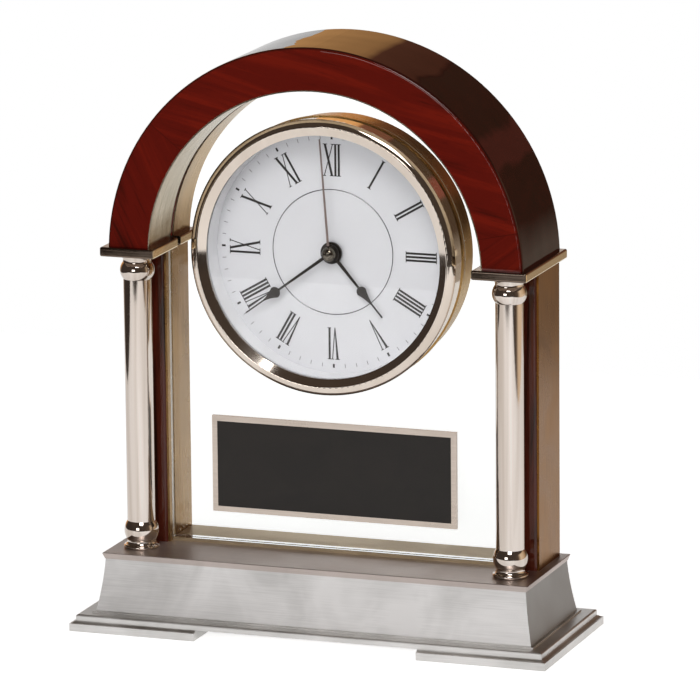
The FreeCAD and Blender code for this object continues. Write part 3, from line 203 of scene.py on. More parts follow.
class FinishBench(NodeBench):
    """Builds one surface finish in the object's own coordinates, in metres."""

    def __init__(self, name: str) -> None:
        """Starts an empty finish.

        Args:
            name: the finish's name.
        """
        self.finish = bpy.data.materials.new(name)
        self.finish.use_nodes = True
        super().__init__(self.finish.node_tree)
        coordinates = self.add("ShaderNodeTexCoord")
        self.place = coordinates.outputs["Object"]
        self.facing = coordinates.outputs["Normal"]

    def stretch(self, scale: Triple, vector: Optional[Socket] = None) -> Socket:
        """A place, or else the object's own, scaled each way by its own number."""
        return self.add("ShaderNodeMapping", {"Vector": vector or self.place, "Scale": scale}).outputs[0]

    def polar(self, centre: Triple) -> tuple[Socket, Socket, Socket]:
        """Radius, depth and angle around an axis that runs from front to back.

        Args:
            centre: a point on the axis.

        Returns:
            Radius in metres, depth in metres and angle in radians.
        """
        moved = self.add("ShaderNodeVectorMath", {0: self.place, 1: centre}, operation="SUBTRACT").outputs[0]
        x, y, z = self.split(moved)
        radius = self.math("SQRT", self.math("ADD", self.math("MULTIPLY", x, x), self.math("MULTIPLY", z, z)))
        return radius, y, self.math("ARCTAN2", z, x)

    def bump(self, height: Socket, strength: float, distance: float) -> Socket:
        """The normal bent by a height from 0 to 1, which stands for a distance in metres."""
        inputs = {"Height": height, "Strength": strength, "Distance": distance}
        return self.add("ShaderNodeBump", inputs).outputs[0]

    def coat(self, sockets: dict[str, Any]) -> Socket:
        """The surface shader with these sockets set."""
        return self.add("ShaderNodeBsdfPrincipled", sockets).outputs[0]

    def close(self, shader: Socket) -> Material:
        """The material, with this shader joined to its output."""
        self.add("ShaderNodeOutputMaterial", {"Surface": shader})
        return self.finish

    def surface(self, sockets: dict[str, Any]) -> Material:
        """The material of one coat with these sockets set."""
        return self.close(self.coat(sockets))


class Finish(Protocol):
    """Anything that can be made into a material."""

    def make(self) -> Material:
        """Builds the material."""


class Grain(Enum):
    """Which way brushing runs: a pattern's stretch along x, y and z."""

    ACROSS = (0.03, 1.0, 1.0)
    UPRIGHT = (1.0, 1.0, 0.03)
    ROUND = (1.0, 1.0, 0.02)


class Figure(Enum):
    """How lively the figure of a wood is: the level at which its dark streaks end."""

    CALM = 0.40
    STREAKED = 0.50


# Finishes


@dataclass(frozen=True)
class ArchStaves:
    """How the arch is glued up from staves with radial joints, and stained along its rim."""

    centre: Triple
    rim: float
    stain: Colour
    stain_depth: Pair = (0.2 * MM, 1.1 * MM)
    first_joint: float = 12.0
    sweep: float = 130.0
    glue_line: float = 0.0016
    shift: Pair = (0.41, 0.17)


@dataclass(frozen=True)
class LacqueredWood:
    """Stained hardwood with streaks along the grain, under a clear gloss lacquer."""

    name: str
    ground: Colour
    streak: Colour
    flame: Colour
    figure: Figure
    staves: Optional[ArchStaves] = None
    figure_size: Triple = (190.0, 90.0, 13.0)
    fibre_size: Triple = (1500.0, 1500.0, 45.0)
    pore_size: Triple = (2600.0, 2600.0, 160.0)
    pore_span: Pair = (0.62, 0.74)
    fibre_share: float = 0.16
    stave_share: float = 0.14
    steps: tuple[float, ...] = (-0.14, 0.01, 0.09, 0.24)
    ripple: float = 48.0

    def make(self) -> Material:
        """Builds the material.

        Returns:
            The lacquered wood.
        """
        bench = FinishBench(self.name)
        place: Socket = bench.place
        tone: Any = 0.5
        seam: Any = 0.0
        if self.staves:
            place, tone, seam = self.glue_up(bench, self.staves)
        level = bench.noise(bench.stretch(self.figure_size, place), 1.0, 3.0, 0.7)
        fibre = bench.noise(bench.stretch(self.fibre_size, place), 1.0, 2.0)
        pore = bench.noise(bench.stretch(self.pore_size, place), 1.0, 1.0)
        for part, share in ((fibre, self.fibre_share), (tone, self.stave_share)):
            swing = bench.math("MULTIPLY", bench.math("SUBTRACT", part, 0.5), share)
            level = bench.math("ADD", level, swing)
        tones = (self.streak, self.ground, self.ground, self.flame)
        colour = bench.ramp(level, [(self.figure.value + step, tint) for step, tint in zip(self.steps, tones)])
        dark = bench.math("MAXIMUM", seam, bench.spread(pore, self.pore_span, (0.0, 0.35)))
        colour = bench.mix(dark, colour, self.streak)
        if self.staves:
            depth = bench.math("SUBTRACT", self.staves.rim, bench.polar(self.staves.centre)[0])
            stained = bench.spread(depth, self.staves.stain_depth, (0.9, 0.0))
            colour = bench.mix(stained, colour, self.staves.stain)
        return bench.surface({
            "Base Color": colour,
            "Roughness": bench.spread(fibre, NOISE_SPAN, (0.34, 0.42)),
            "Specular IOR Level": 0.0,
            "Coat Weight": 0.85,
            "Coat Roughness": 0.02,
            "Coat IOR": 1.5,
            "Normal": bench.bump(fibre, 0.08, 0.04 * MM),
            "Coat Normal": bench.bump(bench.noise(bench.place, self.ripple, 1.0), 0.6, 0.6 * MM),
        })

    def glue_up(self, bench: FinishBench, staves: ArchStaves) -> tuple[Socket, Socket, Socket]:
        """Turns the grain stave by stave, so that it runs straight in each.

        Args:
            bench: the bench the wood is made on.
            staves: how the arch is glued up.

        Returns:
            The place in the stave's own grain, its tone, and where its glue line is.
        """
        angle = bench.polar(staves.centre)[2]
        start = math.radians(staves.first_joint)
        sweep = math.radians(staves.sweep)
        turns = bench.math("DIVIDE", bench.math("SUBTRACT", angle, start), sweep)
        number = bench.math("FLOOR", turns)
        middle = bench.math("ADD", bench.math("MULTIPLY", bench.math("ADD", number, 0.5), sweep), start)
        around = {"Vector": bench.place, "Center": staves.centre, "Angle": middle}
        turned = bench.add("ShaderNodeVectorRotate", around, rotation_type="Y_AXIS").outputs[0]
        shifts = [bench.math("MULTIPLY", number, share) for share in staves.shift]
        apart = bench.join(*shifts, number)
        place = bench.add("ShaderNodeVectorMath", {0: turned, 1: apart}, operation="ADD").outputs[0]
        tone = bench.add("ShaderNodeTexWhiteNoise", {"W": number}, noise_dimensions="1D").outputs[0]
        near = bench.math("PINGPONG", turns, 0.5)
        return place, tone, bench.spread(near, (0.0, staves.glue_line), (0.8, 0.0))


@dataclass(frozen=True)
class BrushedMetal:
    """Sheet or cast metal with a fine directional brushing and a cloudy lustre.

    Faces that look to the sides take a painted side tone where there is one: painted shade or a painted
    highlight, set apart from the front's tone.
    """

    name: str
    tone: Colour
    shadow: Colour
    grain: Grain
    roughness: float = 0.3
    lines: float = 2200.0
    depth: float = 0.2
    cloud: float = 38.0
    line_share: float = 0.5
    painted_side_tone: Optional[Colour] = None
    centre: Triple = (0.0, 0.0, 0.0)
    lap: float = 0.05
    painted_side_span: Pair = (0.6, 0.8)
    swing: float = 0.06

    def make(self) -> Material:
        """Builds the material.

        Returns:
            The brushed metal.
        """
        bench = FinishBench(self.name)
        place: Socket = bench.place
        if self.grain is Grain.ROUND:
            radius, depth, angle = bench.polar(self.centre)
            place = bench.join(radius, depth, bench.math("MULTIPLY", angle, self.lap))
        size = tuple(self.lines * share for share in self.grain.value)
        brushing = bench.noise(bench.stretch(size, place), 1.0, 2.0)
        lustre = bench.noise(bench.place, self.cloud, 3.0, 0.6)
        level = bench.blend(self.line_share, brushing, lustre)
        colour = bench.ramp(level, [(0.32, self.shadow), (0.62, self.tone)])
        # Side-facing faces get the painted side tone: painted shade or a painted highlight in the colour, not a
        # second metal
        if self.painted_side_tone:
            sideways = bench.math("ABSOLUTE", bench.split(bench.facing)[0])
            colour = bench.mix(bench.spread(sideways, self.painted_side_span), colour, self.painted_side_tone)
        gloss = (self.roughness - self.swing, self.roughness + self.swing)
        return bench.surface({
            "Base Color": colour,
            "Metallic": 1.0,
            "Roughness": bench.spread(lustre, NOISE_SPAN, gloss),
            "Anisotropic": 0.35,
            "Normal": bench.bump(brushing, self.depth, 0.05 * MM),
        })


@dataclass(frozen=True)
class PolishedMetal:
    """Bright plating over polished brass, with the faint waves that polishing leaves."""

    name: str
    tone: Colour
    shadow: Colour
    roughness: float = 0.06
    wave: float = 0.12
    smears_and_reflection_streaks: Triple = (60.0, 60.0, 22.0)
    waves: float = 120.0
    swing: float = 0.05

    def make(self) -> Material:
        """Builds the material.

        Returns:
            The polished metal.
        """
        bench = FinishBench(self.name)
        wave = bench.noise(bench.place, self.waves, 2.0)
        # Smears darken the tone in patches; stretched long and upright, as on the columns, they are painted
        # reflection streaks
        smear_and_reflection = bench.noise(bench.stretch(self.smears_and_reflection_streaks), 1.0, 3.0, 0.8)
        return bench.surface({
            "Base Color": bench.ramp(smear_and_reflection, [(0.3, self.shadow), (0.65, self.tone)]),
            "Metallic": 1.0,
            "Roughness": bench.spread(smear_and_reflection, (0.35, 0.75), (self.roughness, self.roughness + self.swing)),
            "Normal": bench.bump(wave, self.wave, 0.06 * MM),
        })


@dataclass(frozen=True)
class ClearGlass:
    """Float glass, clear on its faces and finely ground on its edges, which lets lamps through."""

    name: str
    tint: Colour
    ground_edge: float = 0.45
    edge_tint: Colour = (0.72, 0.78, 0.74)
    bending: float = 1.5
    edge_span: Pair = (0.55, 0.75)
    mottle: float = 900.0
    pit_share: float = 0.45

    def make(self) -> Material:
        """Builds the material.

        Returns:
            The clear glass.
        """
        bench = FinishBench(self.name)
        facing = bench.math("ABSOLUTE", bench.split(bench.facing)[1])
        edge = bench.spread(facing, self.edge_span, FALL)
        pit = tuple(self.pit_share * part for part in self.edge_tint)
        speckle = bench.ramp(bench.noise(bench.place, self.mottle, 3.0), [(0.38, pit), (0.6, self.edge_tint)])
        body = bench.coat({
            "Base Color": bench.mix(edge, self.tint, speckle),
            "Roughness": bench.math("MULTIPLY", edge, self.ground_edge),
            "IOR": self.bending,
            "Transmission Weight": 1.0,
        })
        clear = bench.add("ShaderNodeBsdfTransparent", {"Color": self.tint}).outputs[0]
        lamp = bench.add("ShaderNodeLightPath").outputs["Is Shadow Ray"]
        return bench.close(bench.add("ShaderNodeMixShader", {0: lamp, 1: body, 2: clear}).outputs[0])


@dataclass(frozen=True)
class GrainedCoat:
    """A coat whose tone follows a fine grain and a coarser cloud, and whose gloss follows the grain."""

    name: str
    tone: Colour
    shadow: Colour
    roughness: float
    grain: float
    relief: float
    relief_height: float
    swing: Pair
    grain_share: float
    tone_span: Pair
    cloud: float = 1.0
    cloud_stretch: Triple = (1.0, 1.0, 1.0)
    cloud_drift: float = 0.0
    detail: float = 2.0
    drift: float = 0.0
    metal: float = 0.0
    shine: float = 0.4
    nap: float = 0.0

    def make(self) -> Material:
        """Builds the material.

        Returns:
            The coat.
        """
        bench = FinishBench(self.name)
        grain = bench.noise(bench.place, self.grain, self.detail, self.drift)
        cloud = bench.noise(bench.stretch(self.cloud_stretch), self.cloud, 2.0, self.cloud_drift)
        level = bench.blend(self.grain_share, grain, cloud)
        low, high = self.tone_span
        smoother, rougher = self.swing
        return bench.surface({
            "Base Color": bench.ramp(level, [(low, self.shadow), (high, self.tone)]),
            "Metallic": self.metal,
            "Roughness": bench.spread(grain, NOISE_SPAN, (self.roughness - smoother, self.roughness + rougher)),
            "Specular IOR Level": self.shine,
            "Sheen Weight": self.nap,
            "Normal": bench.bump(grain, self.relief, self.relief_height),
        })


@dataclass(frozen=True)
class SilveredFace(GrainedCoat):
    """Lacquered metal with a fine even flake, for the dial and the ring round it."""

    roughness: float = 0.42
    grain: float = 5200.0
    relief: float = 0.06
    relief_height: float = 0.02 * MM
    swing: Pair = (0.0, 0.12)
    grain_share: float = 0.35
    tone_span: Pair = (0.3, 0.65)
    cloud: float = 26.0
    detail: float = 1.0
    metal: float = 0.1
    shine: float = 0.35


@dataclass(frozen=True)
class MouldedPlastic(GrainedCoat):
    """Moulded plastic or enamel with a fine grain and slight flow marks."""

    roughness: float = 0.4
    grain: float = 2600.0
    relief: float = 0.15
    relief_height: float = 0.04 * MM
    swing: Pair = (0.05, 0.08)
    grain_share: float = 0.4
    tone_span: Pair = (0.3, 0.7)
    cloud_stretch: Triple = (40.0, 90.0, 60.0)
    cloud_drift: float = 1.2


@dataclass(frozen=True)
class PressedFibre(GrainedCoat):
    """Felt, board or foam: matt and full of short fibres."""

    roughness: float = 0.82
    grain: float = 1400.0
    relief: float = 0.6
    relief_height: float = 0.2 * MM
    swing: Pair = (0.0, 0.13)
    grain_share: float = 0.7
    tone_span: Pair = (0.34, 0.66)
    cloud: float = 90.0
    detail: float = 4.0
    drift: float = 2.0
    shine: float = 0.2
    nap: float = 0.4


@dataclass(frozen=True)
class DomedHand:
    """A lacquered blade with a polished dome over its hub."""

    name: str
    centre: Triple
    blade: Colour
    blade_shadow: Colour
    dome: Colour
    dome_radius: float = 0.0032
    brushing: Triple = (3000.0, 3000.0, 300.0)

    def make(self) -> Material:
        """Builds the material.

        Returns:
            The blade and its dome.
        """
        bench = FinishBench(self.name)
        hub = bench.math("LESS_THAN", bench.polar(self.centre)[0], self.dome_radius)
        brushing = bench.noise(bench.stretch(self.brushing), 1.0, 2.0)
        lacquer = bench.ramp(brushing, [(0.3, self.blade_shadow), (0.7, self.blade)])
        return bench.surface({
            "Base Color": bench.mix(hub, lacquer, self.dome),
            "Metallic": bench.spread(hub, RISE, (0.4, 1.0)),
            "Roughness": bench.spread(hub, RISE, (0.38, 0.05)),
            "Normal": bench.bump(brushing, 0.04, 0.02 * MM),
        })


@dataclass(frozen=True)
class CopperWinding:
    """Enamelled wire wound in close turns across x."""

    name: str = "copper_winding"
    turns: float = 5200.0
    stray: float = 700.0

    def make(self) -> Material:
        """Builds the material.

        Returns:
            The winding.
        """
        bench = FinishBench(self.name)
        x = bench.split(bench.place)[0]
        turn = bench.math("PINGPONG", bench.math("MULTIPLY", x, self.turns), 1.0)
        stray = bench.noise(bench.place, self.stray, 2.0)
        level = bench.blend(0.7, turn, stray)
        return bench.surface({
            "Base Color": bench.ramp(level, [(0.15, shade(80, 30, 14)), (0.7, shade(196, 98, 52))]),
            "Metallic": 1.0,
            "Roughness": bench.spread(stray, NOISE_SPAN, (0.24, 0.36)),
            "Normal": bench.bump(turn, 0.7, 0.1 * MM),
        })


@dataclass(frozen=True)
class CircuitBoard:
    """Brown laminate with solder-covered tracks."""

    name: str = "circuit_board"
    tracks: float = 420.0
    weave: Triple = (900.0, 900.0, 2400.0)

    def make(self) -> Material:
        """Builds the material.

        Returns:
            The board.
        """
        bench = FinishBench(self.name)
        inputs = {"Vector": bench.place, "Scale": self.tracks}
        cells = bench.add("ShaderNodeTexVoronoi", inputs, distance="CHEBYCHEV")
        track = bench.spread(cells.outputs[0], (0.22, 0.26), FALL)
        weave = bench.noise(bench.stretch(self.weave), 1.0, 2.0)
        laminate = bench.ramp(weave, [(0.35, shade(96, 66, 28)), (0.65, shade(134, 96, 46))])
        return bench.surface({
            "Base Color": bench.mix(track, laminate, shade(176, 172, 160)),
            "Metallic": bench.math("MULTIPLY", track, 0.9),
            "Roughness": bench.spread(weave, NOISE_SPAN, (0.3, 0.5)),
            "Normal": bench.bump(track, 0.5, 0.06 * MM),
        })


@dataclass(frozen=True)
class CellJacket:
    """A plain printed sleeve on a steel can: dark with a copper-coloured end, left bare of words."""

    name: str
    low_end: float
    high_end: float
    band: float = 14.0 * MM
    low_rim: float = 0.8 * MM
    high_rim: float = 2.2 * MM
    scuffs: float = 300.0

    def make(self) -> Material:
        """Builds the material.

        Returns:
            The sleeve and the can's bare ends.
        """
        bench = FinishBench(self.name)
        x = bench.split(bench.place)[0]
        scuff = bench.noise(bench.place, self.scuffs, 3.0)
        lower = bench.math("GREATER_THAN", x, self.low_end + self.low_rim)
        upper = bench.math("LESS_THAN", x, self.high_end - self.high_rim)
        sleeve = bench.math("MULTIPLY", lower, upper)
        copper = bench.math("GREATER_THAN", x, self.high_end - self.band)
        dark = bench.ramp(scuff, [(0.35, shade(22, 22, 24)), (0.65, shade(40, 40, 43))])
        warm = bench.ramp(scuff, [(0.35, shade(168, 92, 42)), (0.65, shade(196, 116, 60))])
        return bench.surface({
            "Base Color": bench.mix(sleeve, shade(176, 176, 174), bench.mix(copper, dark, warm)),
            "Metallic": bench.math("SUBTRACT", 1.0, bench.math("MULTIPLY", sleeve, 0.55)),
            "Roughness": bench.spread(scuff, NOISE_SPAN, (0.2, 0.34)),
            "Normal": bench.bump(scuff, 0.05, 0.03 * MM),
        })


# Mesh work


class Carving:
    """Collects closed solids in one mesh and turns them into a piece."""

    def __init__(self) -> None:
        """Starts an empty mesh."""
        self.mesh = bmesh.new()

    def slab(self, outline: Sequence[Vector], depth: Vector) -> None:
        """Adds a flat outline drawn out into a closed slab.

        Args:
            outline: the corners in order.
            depth: the way and distance that it is drawn out.
        """
        near = [self.mesh.verts.new(corner) for corner in outline]
        far = [self.mesh.verts.new(corner + depth) for corner in outline]
        self.mesh.faces.new(near)
        self.mesh.faces.new(list(reversed(far)))
        for step in range(len(near)):
            after = (step + 1) % len(near)
            self.mesh.faces.new((near[after], near[step], far[step], far[after]))

    def lathe(self, profile: Outline, centre: Vector, steps: int) -> None:
        """Turns a closed profile round an axis that runs forward, into a closed ring.

        Args:
            profile: corners as radius and height along the axis, in order.
            centre: the foot of the axis.
            steps: how many facets go round.
        """
        axis, spoke = Vector((0.0, -1.0, 0.0)), Vector((1.0, 0.0, 0.0))
        rings = []
        for step in range(steps):
            out = Matrix.Rotation(math.tau * step / steps, 3, axis) @ spoke
            rings.append([
                self.mesh.verts.new(centre + out * radius + axis * height) for radius, height in profile])
        for step, ring in enumerate(rings):
            following = rings[(step + 1) % steps]
            for corner in range(len(profile)):
                after = (corner + 1) % len(profile)
                self.mesh.faces.new((ring[corner], ring[after], following[after], following[corner]))

    def piece(self, name: str, finish: Material, smooth: bool = False) -> bpy.types.Object:
        """Closes the mesh and puts it in the scene.

        Args:
            name: the piece's name.
            finish: its material.
            smooth: whether its faces are shaded round.

        Returns:
            The piece.
        """
        bmesh.ops.recalc_face_normals(self.mesh, faces=self.mesh.faces)
        data = bpy.data.meshes.new(name)
        self.mesh.to_mesh(data)
        self.mesh.free()
        for face in data.polygons:
            face.use_smooth = smooth
        data.materials.append(finish)
        made = bpy.data.objects.new(name, data)
        bpy.context.scene.collection.objects.link(made)
        return made


def pairs(*stems: str) -> list[str]:
    """The names of the left and right piece of each pair."""
    return [f"{stem}_{side}" for stem in stems for side in ("left", "right")]


def dress(finish: Finish, *nodes: str) -> Material:
    """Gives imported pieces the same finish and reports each.

    Args:
        finish: the finish.
        *nodes: the pieces' names.

    Returns:
        The material they share.
    """
    material = finish.make()
    for node in nodes:
        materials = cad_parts[node].data.materials
        if not materials:
            materials.append(material)
        for number in range(len(materials)):
            materials[number] = material
        log.info("%s finished in %s", node, material.name)
    return material


# Sub-assemblies


@dataclass
class MetalBase:
    """The hollow metal base with its feet, pads, cover and screws."""

    top: Finish = BrushedMetal(
        "top_plate_metal", shade(212, 200, 194), shade(188, 176, 170), Grain.ACROSS, 0.42,
        depth=0.08, line_share=0.25)
    # The base's side faces are painted darker than its front: painted shade
    body: Finish = BrushedMetal(
        "base_aluminium", shade(246, 244, 243), shade(206, 204, 202), Grain.ACROSS, 0.42,
        depth=0.08, line_share=0.2, painted_side_tone=shade(158, 155, 152))
    edge: Finish = BrushedMetal(
        "edge_aluminium", shade(240, 238, 236), shade(208, 206, 203), Grain.ACROSS, 0.4,
        depth=0.08, line_share=0.25)
    felt: Finish = PressedFibre("foot_felt", shade(54, 54, 58), shade(24, 24, 27))
    board: Finish = PressedFibre("cover_board", shade(112, 78, 52), shade(74, 50, 33), grain=900.0, nap=0.0)
    steel: Finish = BrushedMetal(
        "plain_steel", shade(170, 170, 168), shade(120, 120, 120), Grain.UPRIGHT, 0.3)

    def dress(self) -> None:
        """Dresses every piece of the base."""
        dress(self.body, "base_body")
        dress(self.edge, "base_moulding", *pairs("foot"))
        dress(self.top, "base_top_plate")
        dress(self.felt, "foot_pads")
        dress(self.board, "base_cover")
        dress(self.steel, "base_screws", "tie_rods", "tie_rod_nuts", "leg_screws")


@dataclass
class ColumnPair:
    """The two turned columns in front, each of three pieces."""

    # The columns' long upright smears paint vertical reflection streaks into the chrome's tone
    plating: Finish = PolishedMetal(
        "column_chrome", shade(240, 230, 222), shade(206, 192, 180), 0.05, smears_and_reflection_streaks=(190.0, 190.0, 6.0))

    def dress(self) -> None:
        """Dresses bases, shafts and capitals."""
        dress(self.plating, *pairs("column_base", "column_shaft", "column_capital"))


@dataclass
class LegPair:
    """The wooden legs behind the columns, between their metal plates, and the ledges on them."""

    wood: Finish = LacqueredWood(
        "leg_rosewood", shade(92, 38, 26), shade(48, 23, 16), shade(118, 46, 30), Figure.STREAKED)
    plate: Finish = BrushedMetal(
        "champagne_plate", shade(190, 154, 104), shade(144, 112, 68), Grain.UPRIGHT, 0.28)
    outer: Finish = BrushedMetal("bronze_plate", shade(156, 110, 54), shade(124, 84, 38), Grain.UPRIGHT, 0.28)
    # The ledge's side faces are painted light gold over a darkened front: painted highlight and painted shade
    # on one metal
    ledge: Finish = BrushedMetal(
        "nickel_ledge", shade(134, 118, 106), shade(106, 92, 80), Grain.ACROSS, 0.16, painted_side_tone=shade(244, 222, 184))

    def dress(self) -> None:
        """Dresses legs, plates and ledges."""
        dress(self.wood, *pairs("leg_post"))
        dress(self.outer, *pairs("leg_outer_plate"))
        dress(self.plate, *pairs("leg_inner_plate"))
        dress(self.ledge, *pairs("ledge"))


@dataclass
class WoodenArch:
    """The lacquered arch with its two metal linings and the sill below."""

    centre: Triple
    rim: float
    sill: Finish = BrushedMetal(
        "sill_metal", shade(224, 206, 176), shade(196, 176, 142), Grain.ACROSS, 0.42, line_share=0.3)

    def dress(self) -> None:
        """Dresses the arch, its linings and the sill."""
        staves = ArchStaves(self.centre, self.rim, shade(38, 14, 9))
        dress(LacqueredWood(
            "arch_mahogany", shade(107, 24, 15), shade(72, 18, 11), shade(126, 30, 17), Figure.CALM,
            staves), "arch")
        dress(BrushedMetal(
            "silver_lining", shade(216, 202, 178), shade(162, 146, 118), Grain.ROUND, 0.22,
            centre=self.centre), "arch_lining_front")
        dress(BrushedMetal(
            "champagne_lining", shade(206, 172, 122), shade(150, 118, 74), Grain.ROUND, 0.24,
            centre=self.centre), "arch_lining_rear")
        dress(self.sill, "sill")


@dataclass
class GlassPanel:
    """The arched glass, and the presentation plate on it with the foam pad that holds it."""

    glass: Finish = ClearGlass("panel_glass", (0.98, 0.993, 0.987))
    plate: Finish = BrushedMetal(
        "plate_silver", shade(228, 214, 202), shade(202, 188, 176), Grain.ACROSS, 0.3,
        depth=0.08, line_share=0.3)
    enamel: Finish = MouldedPlastic("field_enamel", shade(38, 31, 26), shade(26, 21, 17), 0.34, 1800.0, 0.08)
    pad: Finish = PressedFibre(
        "white_foam", shade(226, 226, 222), shade(196, 196, 192), grain=2400.0, nap=0.0)
    pad_corner: float = 2.5 * MM
    pad_gap: float = 0.08 * MM
    corner_steps: int = 6

    def dress(self) -> None:
        """Dresses the glass, the plate, its bare field and the pad behind."""
        dress(self.glass, "glass_panel")
        dress(self.plate, "presentation_plate")
        dress(self.enamel, "presentation_field")
        self.cut_pad(dress(self.pad, "presentation_pad"))

    def cut_pad(self, foam: Material) -> None:
        """Cuts the pad with round corners, its rear a hair short of the glass that it is seen through.

        Args:
            foam: the pad's material.
        """
        low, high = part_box("presentation_pad")
        corner = self.pad_corner
        left, right, bottom, top = low.x + corner, high.x - corner, low.z + corner, high.z - corner
        outline = []
        for quarter, (x, z) in enumerate(((right, top), (left, top), (left, bottom), (right, bottom))):
            for step in range(self.corner_steps + 1):
                angle = math.radians(90.0 * quarter + 90.0 / self.corner_steps * step)
                outline.append(Vector((x + corner * math.cos(angle), low.y, z + corner * math.sin(angle))))
        carving = Carving()
        carving.slab(outline, Vector((0.0, high.y - low.y - self.pad_gap, 0.0)))
        made = carving.piece("foam_pad", foam)
        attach(made, "clock")
        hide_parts("presentation_pad")
        log.info("foam_pad cut")


@dataclass
class ClockHead:
    """The bezel, crystal, dial, hands and drum."""

    centre: Triple
    bezel: Finish = PolishedMetal("bezel_chrome", shade(236, 224, 212), shade(222, 208, 194), 0.05, 0.05)
    crystal: Finish = ClearGlass("crystal_glass", (0.99, 0.99, 0.99), 0.2, (0.85, 0.88, 0.86), 1.34)
    reflector: Finish = SilveredFace(
        "reflector_silver", shade(240, 240, 242), shade(228, 228, 230), 0.3, 4200.0)
    face: Finish = SilveredFace("dial_silver", shade(214, 214, 217), shade(206, 206, 209))
    hand: Finish = MouldedPlastic("hand_enamel", shade(36, 28, 21), shade(22, 17, 13), 0.34, 3600.0, 0.05)
    rubber: Finish = MouldedPlastic("gasket_rubber", shade(34, 30, 27), shade(20, 18, 16), 0.6)
    carrier: Finish = MouldedPlastic("carrier_plastic", shade(60, 60, 62), shade(40, 40, 42), 0.5)

    def dress(self) -> None:
        """Dresses the head from front to back, then the drum and the hands."""
        dress(self.bezel, "bezel")
        dress(self.crystal, "crystal")
        dress(self.reflector, "reflector_ring")
        dress(self.face, "dial")
        dress(self.carrier, "dial_carrier")
        dress(self.rubber, "head_gasket")
        dress(BrushedMetal(
            "drum_gilt", shade(208, 170, 108), shade(152, 120, 70), Grain.ROUND, 0.26,
            centre=self.centre), "drum")
        dress(self.hand, "hour_hand", "minute_hand")
        dress(DomedHand(
            "second_hand_plating", self.centre, shade(142, 124, 118), shade(112, 96, 90),
            shade(122, 115, 104)), "second_hand")


def oblong(left: float, right: float, low: float, high: float) -> Outline:
    """The outline of an upright oblong."""
    return [(left, low), (right, low), (right, high), (left, high)]


def crossing(first: Outline, second: Outline) -> Pair:
    """Where two straight edges cross.

    Args:
        first: the two ends of one edge.
        second: the two ends of the other.

    Returns:
        The crossing.
    """
    (ax, ay), (bx, by) = first
    (cx, cy), (dx, dy) = second
    across = (bx - ax) * (dy - cy) - (by - ay) * (dx - cx)
    share = ((cx - ax) * (dy - cy) - (cy - ay) * (dx - cx)) / across
    return ax + share * (bx - ax), ay + share * (by - ay)


class Letter(Enum):
    """The three letters that Roman numerals need, each with its width in millimetres."""

    I = 0.82
    V = 2.65
    X = 3.6


